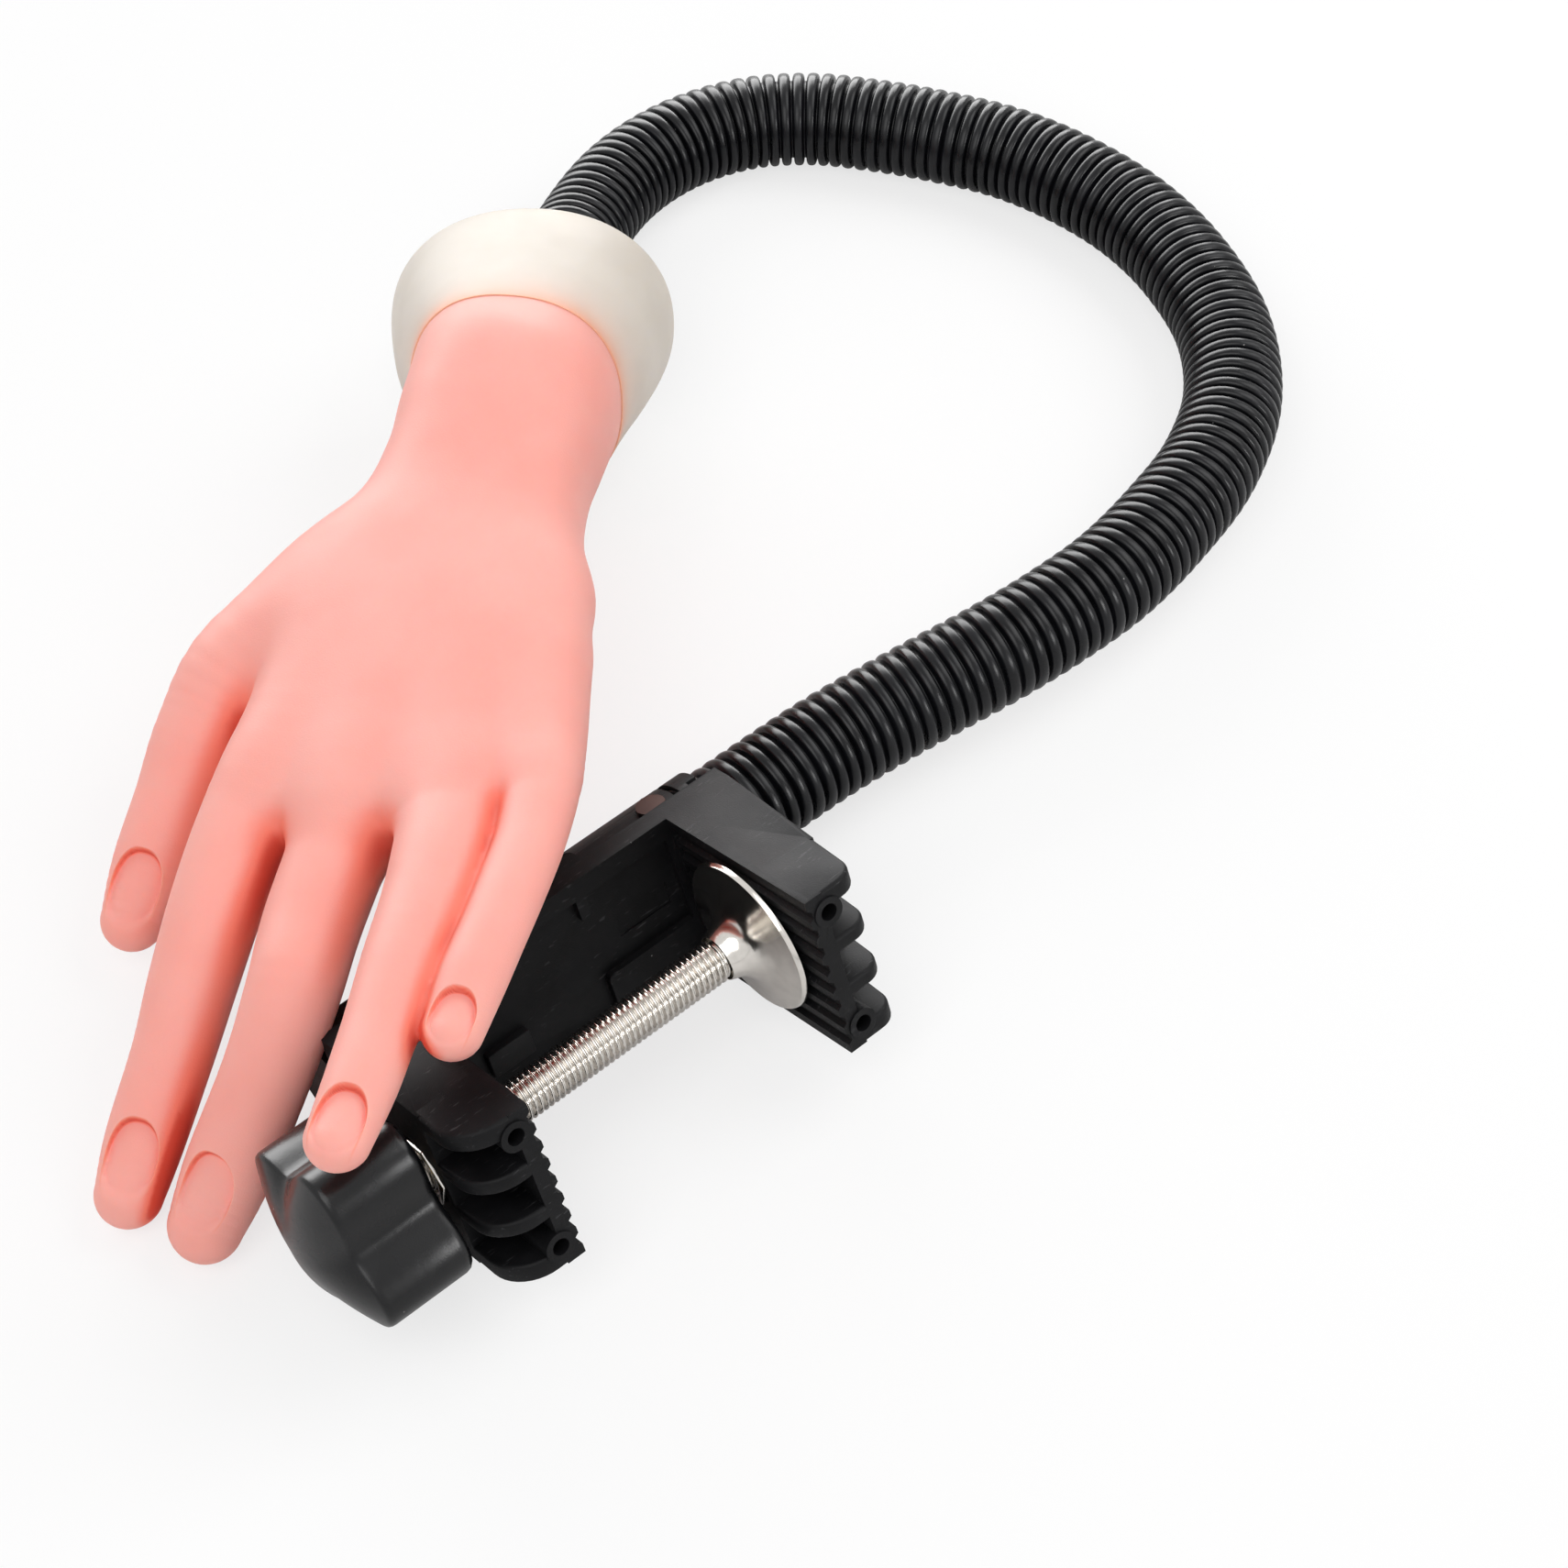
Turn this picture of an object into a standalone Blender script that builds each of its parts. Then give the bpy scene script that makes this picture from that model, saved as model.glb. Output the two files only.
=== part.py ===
"""A nail practice hand: a soft hand on a bendable ribbed arm that a screw clamp holds to a table's edge.

+X runs along the clamp's screw, from the knob to the arm, and +Z is up. Everything lies on z = 0.
"""

import math

import bmesh
import bpy
from mathutils import Matrix, Vector

# Sizes are in metres and angles in degrees.
CLEARANCE = 0.0003
OVERRUN = 0.002
ROUND_SIDES = 28
PAD_SIDES = 32
SMALL_SIDES = 16

# The clamp lies tilted, on the lower edge of its spine, with its jaws towards -Y.
CLAMP_TILT = 19.23
CLAMP_PLACE_X = -0.04453
CLAMP_PLACE_Y = -0.06863
CLAMP_WIDTH = 0.036
JAW_GAP = 0.062
JAW_DEPTH = 0.0422
FIXED_JAW_ROOT = 0.0152
FIXED_JAW_TIP = 0.0118
FIXED_JAW_CORNER = 0.0040
SCREW_JAW_THICKNESS = 0.0142
SCREW_JAW_CORNER = 0.0085
SPINE_THICKNESS = 0.0034
SPINE_PANEL_DEPTH = 0.0010
SPINE_PANEL_MARGIN = 0.0034
GRIP_PLATE = 0.0038
GROOVE_PITCH = 0.0042
GROOVE_WIDTH = 0.0018
GROOVE_DEPTH = 0.0008
GROOVE_COUNT = 8
FIN_THICKNESS_END = 0.0040
FIN_THICKNESS_MIDDLE = 0.0032
FIN_COUNT = 4
FIN_POCKET_LENGTH = 0.0135
TIP_HOLE_RADIUS = 0.0017
TIP_HOLE_DEPTH = 0.0080
TIP_HOLE_INSET = 0.00405
TIP_HOLE_FLANK_INSET = 0.0048

# The socket behind the spine holds the arm's end.
SOCKET_OFFSET = 0.0130
SOCKET_WALL = 0.0012
SOCKET_END_WALL = 0.0040
ARM_SEAT = 0.0048
ANCHOR_SCREW_RADIUS = 0.0016
ANCHOR_SCREW_HEAD_RADIUS = 0.0030
ANCHOR_SCREW_HEAD_HEIGHT = 0.0012
ANCHOR_LENGTH = 0.0120
ANCHOR_WALL_RADIUS = 0.0098

# The clamping screw, its nut, pad and knob share one axis.
SCREW_DEPTH = 0.0199
SCREW_RADIUS = 0.0039
SCREW_BORE_CLEARANCE = 0.0004
SCREW_KNOB_ENGAGEMENT = 0.0130
NUT_ACROSS_FLATS = 0.0130
NUT_THICKNESS = 0.0065
NUT_PROUD = 0.0014
PAD_RADIUS = 0.0160
PAD_SHEET = 0.0012
PAD_LIP = 0.0013
PAD_DOME_HEIGHT = 0.0048
PAD_COLLAR_RADIUS = 0.0060
PAD_COLLAR_LENGTH = 0.0052
PAD_REST_GAP = 0.0008
RIVET_HEAD_RADIUS = 0.0042
RIVET_HEAD_HEIGHT = 0.0012
RIVET_SHANK_RADIUS = 0.0020
RIVET_SHANK_LENGTH = 0.0052
KNOB_JAW_GAP = 0.0033
KNOB_LENGTH = 0.0185
KNOB_DOME_HEIGHT = 0.0050
KNOB_MEAN_RADIUS = 0.0167
KNOB_LOBE_HEIGHT = 0.0032
KNOB_EDGE = 0.0012
KNOB_LOBES = 4
KNOB_PHASE = 208.0
KNOB_SIDES = 48
INSERT_RADIUS = 0.0062
INSERT_LENGTH = 0.0140

# The arm is a ribbed sleeve over a wound metal core, in stretches that bend where they meet.
ARM_RADIUS = 0.0106
ARM_GROOVE_DEPTH = 0.0014
RIB_PITCH = 0.0032
CORE_RADIUS = 0.0060
CORE_BEND_GAP = 0.0030
ARM_SPAN = 0.2000
# Places on the arm's centreline, from the socket's mouth on, as shares of the loop's span. The last
# number says how far a place goes with the arm's end at the wrist.
ARM_ROUTE_SHARES = (
    (0.000, 0.000, 0.000, 0.000),
    (0.126, -0.001, 0.000, 0.000),
    (0.200, -0.008, 0.003, 0.000),
    (0.272, -0.020, 0.009, 0.000),
    (0.345, -0.033, 0.015, 0.000),
    (0.424, -0.039, 0.016, 0.000),
    (0.506, -0.037, 0.015, 0.000),
    (0.598, -0.018, 0.010, 0.000),
    (0.692, 0.013, 0.003, 0.000),
    (0.785, 0.070, -0.004, 0.000),
    (0.859, 0.156, -0.010, 0.000),
    (0.901, 0.256, -0.013, 0.000),
    (0.918, 0.352, -0.015, 0.000),
    (0.911, 0.442, -0.014, 0.000),
    (0.875, 0.496, -0.018, 0.050),
    (0.807, 0.507, -0.023, 0.150),
    (0.703, 0.447, -0.033, 0.350),
    (0.578, 0.348, -0.045, 0.600),
    (0.437, 0.235, -0.057, 0.850),
    (0.306, 0.161, -0.063, 1.000),
    (0.210, 0.148, -0.058, 1.000),
    (0.102, 0.091, -0.043, 1.000),
    (0.000, 0.000, 0.000, 1.000),
)
# Where each bend sits, as shares of the sleeve's whole length.
BEND_SHARES = (0.0835, 0.3110, 0.5230, 0.8030)
FERRULE_RADIUS = 0.0128
FERRULE_LENGTH = 0.0024

# The hand's places are shares of its length from the wrist's crease to the longest finger's end:
# forwards, to the little finger's side, and up.
HAND_LENGTH = 0.1610
HAND_HEADING = 214.25
# Where the fingers cross the clamp, from the clamp's place, and which place of the hand that is.
CROSSING_FROM_CLAMP_X = -0.0694
CROSSING_FROM_CLAMP_Y = 0.0050
CROSSING_SHARE = (0.760, 0.120)
# The hand's heights above the surface, as a share of the clamp's, because its fingers lie over the clamp.
HAND_RISE_SHARE = 3.2855
# Each slice across the hand: its place, half its width, half its height, and its roll in degrees.
PALM_SHARES = (
    (-0.335, -0.050, 0.186, 0.150, 0.143),
    (-0.262, -0.031, 0.214, 0.150, 0.142),
    (-0.184, -0.010, 0.244, 0.149, 0.138),
    (-0.103, -0.002, 0.253, 0.142, 0.122),
    (-0.030, 0.001, 0.253, 0.139, 0.107),
    (0.050, -0.002, 0.248, 0.167, 0.098),
    (0.140, -0.004, 0.246, 0.212, 0.095),
    (0.230, 0.006, 0.246, 0.224, 0.092),
    (0.320, 0.034, 0.249, 0.213, 0.085),
    (0.400, 0.052, 0.252, 0.204, 0.074),
    (0.455, 0.058, 0.259, 0.192, 0.062),
    (0.495, 0.042, 0.260, 0.150, 0.048),
    (0.532, 0.018, 0.254, 0.086, 0.036),
)
PALM_ROLLS = (0.0, 0.0, 0.0, 2.0, 5.0, 8.0, 11.0, 13.0, 14.0, 14.0, 15.0, 16.0, 16.0)
# Each digit: places along it, then half its width at each, all as shares of the hand's length.
DIGIT_SHARES = {
    "thumb": (
        ((0.131, -0.112, 0.215), (0.260, -0.208, 0.185), (0.354, -0.239, 0.152),
         (0.440, -0.249, 0.118), (0.521, -0.255, 0.088), (0.585, -0.259, 0.063)),
        (0.070, 0.073, 0.062, 0.053, 0.049, 0.039),
    ),
    "index": (
        ((0.303, -0.095, 0.225), (0.430, -0.108, 0.222), (0.523, -0.117, 0.205), (0.615, -0.120, 0.178),
         (0.700, -0.122, 0.142), (0.776, -0.123, 0.106), (0.867, -0.129, 0.062), (0.926, -0.129, 0.038)),
        (0.050, 0.060, 0.057, 0.055, 0.052, 0.048, 0.046, 0.040),
    ),
    "middle": (
        ((0.300, 0.006, 0.245), (0.427, 0.010, 0.246), (0.533, 0.013, 0.236), (0.643, 0.015, 0.225),
         (0.730, 0.025, 0.222), (0.808, 0.016, 0.173), (0.887, -0.014, 0.085), (0.945, -0.028, 0.043)),
        (0.050, 0.061, 0.059, 0.057, 0.054, 0.052, 0.052, 0.044),
    ),
    "ring": (
        ((0.303, 0.092, 0.265), (0.420, 0.123, 0.278), (0.533, 0.142, 0.298), (0.638, 0.160, 0.314),
         (0.735, 0.168, 0.328), (0.827, 0.178, 0.340), (0.901, 0.183, 0.346), (0.972, 0.184, 0.348)),
        (0.049, 0.057, 0.052, 0.049, 0.045, 0.042, 0.040, 0.036),
    ),
    "little": (
        ((0.262, 0.168, 0.275), (0.373, 0.203, 0.296), (0.459, 0.235, 0.316), (0.542, 0.251, 0.330),
         (0.619, 0.255, 0.340), (0.690, 0.256, 0.347), (0.754, 0.255, 0.350), (0.818, 0.256, 0.350)),
        (0.049, 0.053, 0.045, 0.040, 0.039, 0.038, 0.038, 0.034),
    ),
}
DIGIT_FLATNESS_SHARE = 0.86
# Each nail recess: where it is along its digit's last places, and its half width and half length.
NAIL_SHARES = {
    "thumb": (0.0315, 0.052),
    "index": (0.0305, 0.050),
    "middle": (0.0318, 0.050),
    "ring": (0.0285, 0.045),
    "little": (0.0255, 0.037),
}
NAIL_PLACE_SHARE = 0.70
NAIL_DEPTH = 0.0011
PALM_SIDES = 28
PALM_SQUARENESS_SHARE = 2.3
DIGIT_SIDES = 16
TIP_RINGS = 3

# The cuff flares from the wrist to its rim, and a hard plug inside joins hand and arm.
CUFF_LENGTH = 0.0418
CUFF_OVERLAP = 0.0268
CUFF_FLARE_WIDTH = 0.0060
CUFF_FLARE_HEIGHT = 0.0030
# Each slice of the cuff: how far back it is, and how much of the flare it has.
CUFF_SHARES = (
    (0.00, 0.10), (0.15, 0.27), (0.40, 0.60), (0.68, 0.92), (0.85, 1.00), (0.96, 0.94), (1.00, 0.74),
)
CUFF_SIDES = 32
PLUG_RADIUS = 0.0115
PLUG_LENGTH = 0.0410
NECK_GAP = 0.0210
CORE_IN_PLUG = 0.0260
RETAINER_RADIUS = 0.0085
RETAINER_LENGTH = 0.0050

# What follows from the sizes above.
HALF_WIDTH = CLAMP_WIDTH / 2
SOCKET_RADIUS = ARM_RADIUS + SOCKET_WALL
SCREW_JAW_OUTER = -(JAW_GAP + SCREW_JAW_THICKNESS)
CLAMP_HEIGHT = HALF_WIDTH * math.cos(math.radians(CLAMP_TILT)) + SPINE_THICKNESS * math.sin(
    math.radians(CLAMP_TILT)
)
CLAMP_TOP = CLAMP_HEIGHT + HALF_WIDTH * math.cos(math.radians(CLAMP_TILT)) + JAW_DEPTH * math.sin(
    math.radians(CLAMP_TILT)
)
HAND_RISE = HAND_RISE_SHARE * CLAMP_TOP

MATERIALS = {
    "clamp_plastic": ((0.012, 0.012, 0.013), 0.42, 0.0),
    "knob_plastic": ((0.010, 0.010, 0.011), 0.30, 0.0),
    "nickel": ((0.62, 0.60, 0.57), 0.24, 1.0),
    "zinc_steel": ((0.45, 0.45, 0.46), 0.38, 1.0),
    "brass": ((0.60, 0.42, 0.16), 0.35, 1.0),
    "gooseneck_steel": ((0.30, 0.30, 0.31), 0.40, 1.0),
    "sleeve_plastic": ((0.014, 0.014, 0.016), 0.36, 0.0),
    "ferrule_plastic": ((0.22, 0.22, 0.23), 0.45, 0.0),
    "plug_plastic": ((0.60, 0.58, 0.54), 0.50, 0.0),
    "cuff_vinyl": ((0.82, 0.80, 0.73), 0.48, 0.0),
    "hand_vinyl": ((0.95, 0.42, 0.34), 0.55, 0.0),
}

for leftover in list(bpy.data.objects):
    bpy.data.objects.remove(leftover)
PARTS = bpy.data.collections.new("nail_practice_hand")
CUTTERS = bpy.data.collections.new("cutters")
for collection in (PARTS, CUTTERS):
    bpy.context.scene.collection.children.link(collection)


def material(name):
    found = bpy.data.materials.get(name)
    if found:
        return found
    colour, roughness, metallic = MATERIALS[name]
    found = bpy.data.materials.new(name)
    found.use_nodes = True
    shader = found.node_tree.nodes["Principled BSDF"]
    shader.inputs["Base Color"].default_value = (*colour, 1)
    shader.inputs["Roughness"].default_value = roughness
    shader.inputs["Metallic"].default_value = metallic
    return found


def empty(name, parent=None, place=(0, 0, 0), turn=(0, 0, 0)):
    """A frame to hang pieces on, turned by angles in degrees."""
    made = bpy.data.objects.new(name, None)
    PARTS.objects.link(made)
    made.parent = parent
    made.location = place
    made.rotation_euler = [math.radians(angle) for angle in turn]
    return made


def as_object(name, mesh, parent=None, look=None):
    """An object of the part if it has a look, and otherwise a cutter."""
    made = bpy.data.objects.new(name, mesh)
    (PARTS if look else CUTTERS).objects.link(made)
    made.parent = parent
    if look:
        mesh.materials.clear()
        mesh.materials.append(material(look))
    else:
        made.hide_render = True
        made.display_type = "WIRE"
    return made


def mesh_from(name, shape):
    """A mesh datablock from a bmesh, with its faces pointing out and its round sides smooth."""
    bmesh.ops.recalc_face_normals(shape, faces=shape.faces)
    mesh = bpy.data.meshes.new(name)
    shape.to_mesh(mesh)
    shape.free()
    mesh.shade_smooth()
    mesh.set_sharp_from_angle(angle=math.radians(35))
    return mesh


def box(name, low, high, parent=None, look=None):
    low, high = Vector(low), Vector(high)
    shape = bmesh.new()
    stretch = Matrix.Diagonal((*(high - low), 1))
    bmesh.ops.create_cube(shape, size=1, matrix=Matrix.Translation((low + high) / 2) @ stretch)
    return as_object(name, mesh_from(name, shape), parent, look)


def rod(name, start, end, radius, parent=None, look=None, sides=ROUND_SIDES):
    """A cylinder, or a prism of few sides, from one point to another."""
    start, end = Vector(start), Vector(end)
    turn = (end - start).to_track_quat("Z", "Y").to_matrix().to_4x4()
    shape = bmesh.new()
    bmesh.ops.create_cone(
        shape, cap_ends=True, segments=sides, radius1=radius, radius2=radius, depth=(end - start).length,
        matrix=Matrix.Translation((start + end) / 2) @ turn,
    )
    return as_object(name, mesh_from(name, shape), parent, look)


def plate(name, outline, low, high, parent=None, look=None):
    """A flat outline in X and Y, as thick as from low to high in Z."""
    curve = bpy.data.curves.new(name, "CURVE")
    curve.dimensions = "2D"
    curve.fill_mode = "BOTH"
    curve.extrude = (high - low) / 2
    spline = curve.splines.new("POLY")
    spline.points.add(len(outline) - 1)
    for point, (x, y) in zip(spline.points, outline):
        point.co = (x, y, 0, 1)
    spline.use_cyclic_u = True
    shape = bmesh.new()
    shape.from_mesh(evaluated_mesh(curve))
    bmesh.ops.remove_doubles(shape, verts=shape.verts, dist=CLEARANCE / 10)
    bmesh.ops.translate(shape, verts=shape.verts, vec=(0, 0, (low + high) / 2))
    return as_object(name, mesh_from(name, shape), parent, look)


def evaluated_mesh(curve):
    """The mesh that Blender makes of a curve datablock. The curve is then removed."""
    carrier = bpy.data.objects.new(curve.name, curve)
    CUTTERS.objects.link(carrier)
    bpy.context.view_layer.update()
    mesh = bpy.data.meshes.new_from_object(carrier.evaluated_get(bpy.context.evaluated_depsgraph_get()))
    bpy.data.objects.remove(carrier)
    return mesh


def turned(name, profile, parent=None, look=None, sides=ROUND_SIDES):
    """A closed profile of (radius, place along X) pairs, turned round the X axis."""
    area = sum(a[0] * b[1] - b[0] * a[1] for a, b in zip(profile, profile[1:] + profile[:1]))
    outline = profile if area < 0 else profile[::-1]
    mesh = bpy.data.meshes.new(name)
    count = len(outline)
    mesh.from_pydata([(r, 0, x) for r, x in outline], [(i, (i + 1) % count) for i in range(count)], [])
    made = as_object(name, mesh, parent, look)
    made.rotation_euler.y = math.radians(90)
    screw = made.modifiers.new("turn", "SCREW")
    screw.steps = screw.render_steps = sides
    screw.use_merge_vertices = True
    screw.merge_threshold = CLEARANCE / 10
    screw.use_smooth_shade = True
    return made


def boolean(target, other, operation):
    step = target.modifiers.new(f"{operation.lower()} {other.name}", "BOOLEAN")
    step.operation = operation
    step.object = other
    return target


def cut(target, *others):
    for other in others:
        boolean(target, other, "DIFFERENCE")
    return target


def join(target, *others):
    for other in others:
        boolean(target, other, "UNION")
    return target


def arc(centre, radius, first, last, steps):
    """Points on a circle's arc between two angles in degrees."""
    angles = [math.radians(first + (last - first) * i / steps) for i in range(steps + 1)]
    return [(centre[0] + radius * math.cos(a), centre[1] + radius * math.sin(a)) for a in angles]


def clamp_outline():
    """The clamp seen from above: spine at the back, jaws towards -Y, the fixed jaw's grip at x = 0."""
    fixed_centre = (FIXED_JAW_TIP - FIXED_JAW_CORNER, FIXED_JAW_CORNER - JAW_DEPTH)
    screw_centre = (SCREW_JAW_OUTER + SCREW_JAW_CORNER, SCREW_JAW_CORNER - JAW_DEPTH)
    return (
        [(SCREW_JAW_OUTER, SPINE_THICKNESS)]
        + arc(screw_centre, SCREW_JAW_CORNER, 180, 270, 8)
        + [(-JAW_GAP, -JAW_DEPTH), (-JAW_GAP, 0), (0, 0), (0, -JAW_DEPTH)]
        + arc(fixed_centre, FIXED_JAW_CORNER, 270, 360, 6)
        + [(FIXED_JAW_ROOT, SPINE_THICKNESS)]
    )


def fin_gaps():
    """Where the open pockets between a jaw's fins lie across the clamp's width, as (low, high)."""
    inner_fins = FIN_COUNT - 2
    free = CLAMP_WIDTH - 2 * FIN_THICKNESS_END - inner_fins * FIN_THICKNESS_MIDDLE
    gap = free / (FIN_COUNT - 1)
    low = FIN_THICKNESS_END - HALF_WIDTH
    gaps = []
    for _ in range(FIN_COUNT - 1):
        gaps.append((low, low + gap))
        low += gap + FIN_THICKNESS_MIDDLE
    return gaps


def clamp_cutters(root):
    """Pockets between the fins, grip grooves, tip holes and the spine's panel."""
    cutters = []
    pocket_back = FIN_POCKET_LENGTH - JAW_DEPTH
    for number, (low, high) in enumerate(fin_gaps(), 1):
        cutters.append(box(
            f"fixed_pocket_{number}", (GRIP_PLATE, -JAW_DEPTH - OVERRUN, low),
            (FIXED_JAW_ROOT + OVERRUN, pocket_back, high), root,
        ))
        cutters.append(box(
            f"screw_pocket_{number}", (SCREW_JAW_OUTER - OVERRUN, -JAW_DEPTH - OVERRUN, low),
            (-JAW_GAP - GRIP_PLATE, pocket_back, high), root,
        ))
    first = -GROOVE_PITCH * (GROOVE_COUNT - 1) / 2
    for number in range(GROOVE_COUNT):
        middle = first + number * GROOVE_PITCH
        low, high = middle - GROOVE_WIDTH / 2, middle + GROOVE_WIDTH / 2
        cutters.append(box(
            f"fixed_groove_{number}", (-OVERRUN, -JAW_DEPTH - OVERRUN, low), (GROOVE_DEPTH, 0, high), root
        ))
        cutters.append(box(
            f"screw_groove_{number}", (-JAW_GAP - GROOVE_DEPTH, -JAW_DEPTH - OVERRUN, low),
            (-JAW_GAP + OVERRUN, 0, high), root,
        ))
    for face, side in ((0, 1), (-JAW_GAP, -1)):
        for flank in (-1, 1):
            x = face + side * TIP_HOLE_INSET
            z = flank * (HALF_WIDTH - TIP_HOLE_FLANK_INSET)
            cutters.append(rod(
                f"tip_hole_{side}_{flank}", (x, -JAW_DEPTH - OVERRUN, z),
                (x, TIP_HOLE_DEPTH - JAW_DEPTH, z), TIP_HOLE_RADIUS, root, sides=SMALL_SIDES,
            ))
    reach = HALF_WIDTH - SPINE_PANEL_MARGIN
    cutters.append(box(
        "spine_panel", (SPINE_PANEL_MARGIN - JAW_GAP, -OVERRUN, -reach),
        (-SPINE_PANEL_MARGIN, SPINE_PANEL_DEPTH, reach), root,
    ))
    return cutters


def make_clamp(root):
    frame = plate("clamp_frame", clamp_outline(), -HALF_WIDTH, HALF_WIDTH, root, "clamp_plastic")
    socket = rod(
        "socket_body", (SCREW_JAW_OUTER, SOCKET_OFFSET, 0), (FIXED_JAW_ROOT, SOCKET_OFFSET, 0),
        SOCKET_RADIUS, root,
    )
    join(frame, socket)
    cut(frame, *clamp_cutters(root))
    arm_bore = rod(
        "arm_bore", (SCREW_JAW_OUTER + SOCKET_END_WALL, SOCKET_OFFSET, 0),
        (FIXED_JAW_ROOT + OVERRUN, SOCKET_OFFSET, 0), ARM_RADIUS + CLEARANCE, root,
    )
    outside = SCREW_JAW_OUTER - OVERRUN
    screw_bore = rod(
        "screw_bore", (outside, -SCREW_DEPTH, 0), (-JAW_GAP + OVERRUN, -SCREW_DEPTH, 0),
        SCREW_RADIUS + SCREW_BORE_CLEARANCE, root,
    )
    nut_floor = SCREW_JAW_OUTER + NUT_THICKNESS - NUT_PROUD + CLEARANCE
    nut_recess = rod(
        "nut_recess", (outside, -SCREW_DEPTH, 0), (nut_floor, -SCREW_DEPTH, 0),
        NUT_ACROSS_FLATS / math.sqrt(3) + CLEARANCE, root, sides=6,
    )
    cut(frame, arm_bore, screw_bore, nut_recess)
    make_anchor(root, frame)
    return frame


def make_anchor(root, frame):
    """The plug that the arm's core ends in, inside the socket, and the screw that holds it there."""
    far = FIXED_JAW_ROOT - ARM_SEAT - CLEARANCE
    near = far - ANCHOR_LENGTH
    anchor = rod(
        "arm_anchor", (near, SOCKET_OFFSET, 0), (far, SOCKET_OFFSET, 0), ANCHOR_WALL_RADIUS, root,
        "zinc_steel",
    )
    middle = near + ANCHOR_LENGTH / 2
    head_seat = SOCKET_RADIUS - ANCHOR_SCREW_HEAD_HEIGHT / 2
    shank_end = ANCHOR_WALL_RADIUS - 3 * ANCHOR_SCREW_RADIUS
    outside = (middle, SOCKET_OFFSET, SOCKET_RADIUS + OVERRUN)
    shank_bore = rod(
        "anchor_screw_bore", (middle, SOCKET_OFFSET, shank_end - CLEARANCE), outside,
        ANCHOR_SCREW_RADIUS + CLEARANCE, root, sides=SMALL_SIDES,
    )
    head_bore = rod(
        "anchor_screw_recess", (middle, SOCKET_OFFSET, head_seat), outside,
        ANCHOR_SCREW_HEAD_RADIUS + CLEARANCE, root, sides=SMALL_SIDES,
    )
    cut(anchor, shank_bore)
    cut(frame, shank_bore, head_bore)
    head_under = head_seat + CLEARANCE
    screw = rod(
        "anchor_screw", (middle, SOCKET_OFFSET, shank_end), (middle, SOCKET_OFFSET, head_under + CLEARANCE),
        ANCHOR_SCREW_RADIUS, root, "zinc_steel", sides=SMALL_SIDES,
    )
    head = rod(
        "anchor_screw_head", (middle, SOCKET_OFFSET, head_under),
        (middle, SOCKET_OFFSET, head_under + ANCHOR_SCREW_HEAD_HEIGHT), ANCHOR_SCREW_HEAD_RADIUS,
        root, sides=SMALL_SIDES,
    )
    join(screw, head)


def knob_radius(angle, share):
    """The lobed knob's radius at an angle in radians, drawn in by a share."""
    wave = math.cos(KNOB_LOBES * (angle - math.radians(KNOB_PHASE)))
    return (KNOB_MEAN_RADIUS + KNOB_LOBE_HEIGHT * wave) * share


def loft(name, rings, parent=None, look=None):
    """A closed skin over rings of equally many points, flat at both ends."""
    shape = bmesh.new()
    made = [[shape.verts.new(point) for point in ring] for ring in rings]
    count = len(made[0])
    for low, high in zip(made, made[1:]):
        for i in range(count):
            j = (i + 1) % count
            shape.faces.new((low[i], low[j], high[j], high[i]))
    shape.faces.new(made[0])
    shape.faces.new(made[-1])
    return as_object(name, mesh_from(name, shape), parent, look)


def make_knob(axis):
    """The star knob. Its rings run from the face near the jaw to the far end of its dome."""
    near = SCREW_JAW_OUTER - KNOB_JAW_GAP
    far = near - KNOB_LENGTH
    edge_share = 1 - KNOB_EDGE / KNOB_MEAN_RADIUS
    rows = [(near, edge_share), (near - KNOB_EDGE, 1.0), (far, 1.0)]
    steps = 5
    for i in range(1, steps + 1):
        angle = math.radians(78 * i / steps)
        rows.append((far - KNOB_DOME_HEIGHT * math.sin(angle), math.cos(angle)))
    rings = []
    for x, share in rows:
        ring = []
        for i in range(KNOB_SIDES):
            angle = 2 * math.pi * i / KNOB_SIDES
            radius = knob_radius(angle, share)
            ring.append((x, radius * math.cos(angle), radius * math.sin(angle)))
        rings.append(ring)
    knob = loft("clamp_knob", rings, axis, "knob_plastic")
    bore = rod(
        "insert_bore", (near + OVERRUN, 0, 0), (near - INSERT_LENGTH - CLEARANCE, 0, 0),
        INSERT_RADIUS + CLEARANCE, axis,
    )
    cut(knob, bore)
    insert = rod("knob_insert", (near, 0, 0), (near - INSERT_LENGTH, 0, 0), INSERT_RADIUS, axis, "brass")
    screw_hole = rod(
        "insert_hole", (near + OVERRUN, 0, 0), (near - SCREW_KNOB_ENGAGEMENT - CLEARANCE, 0, 0),
        SCREW_RADIUS + CLEARANCE, axis,
    )
    cut(insert, screw_hole)
    return near


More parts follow.
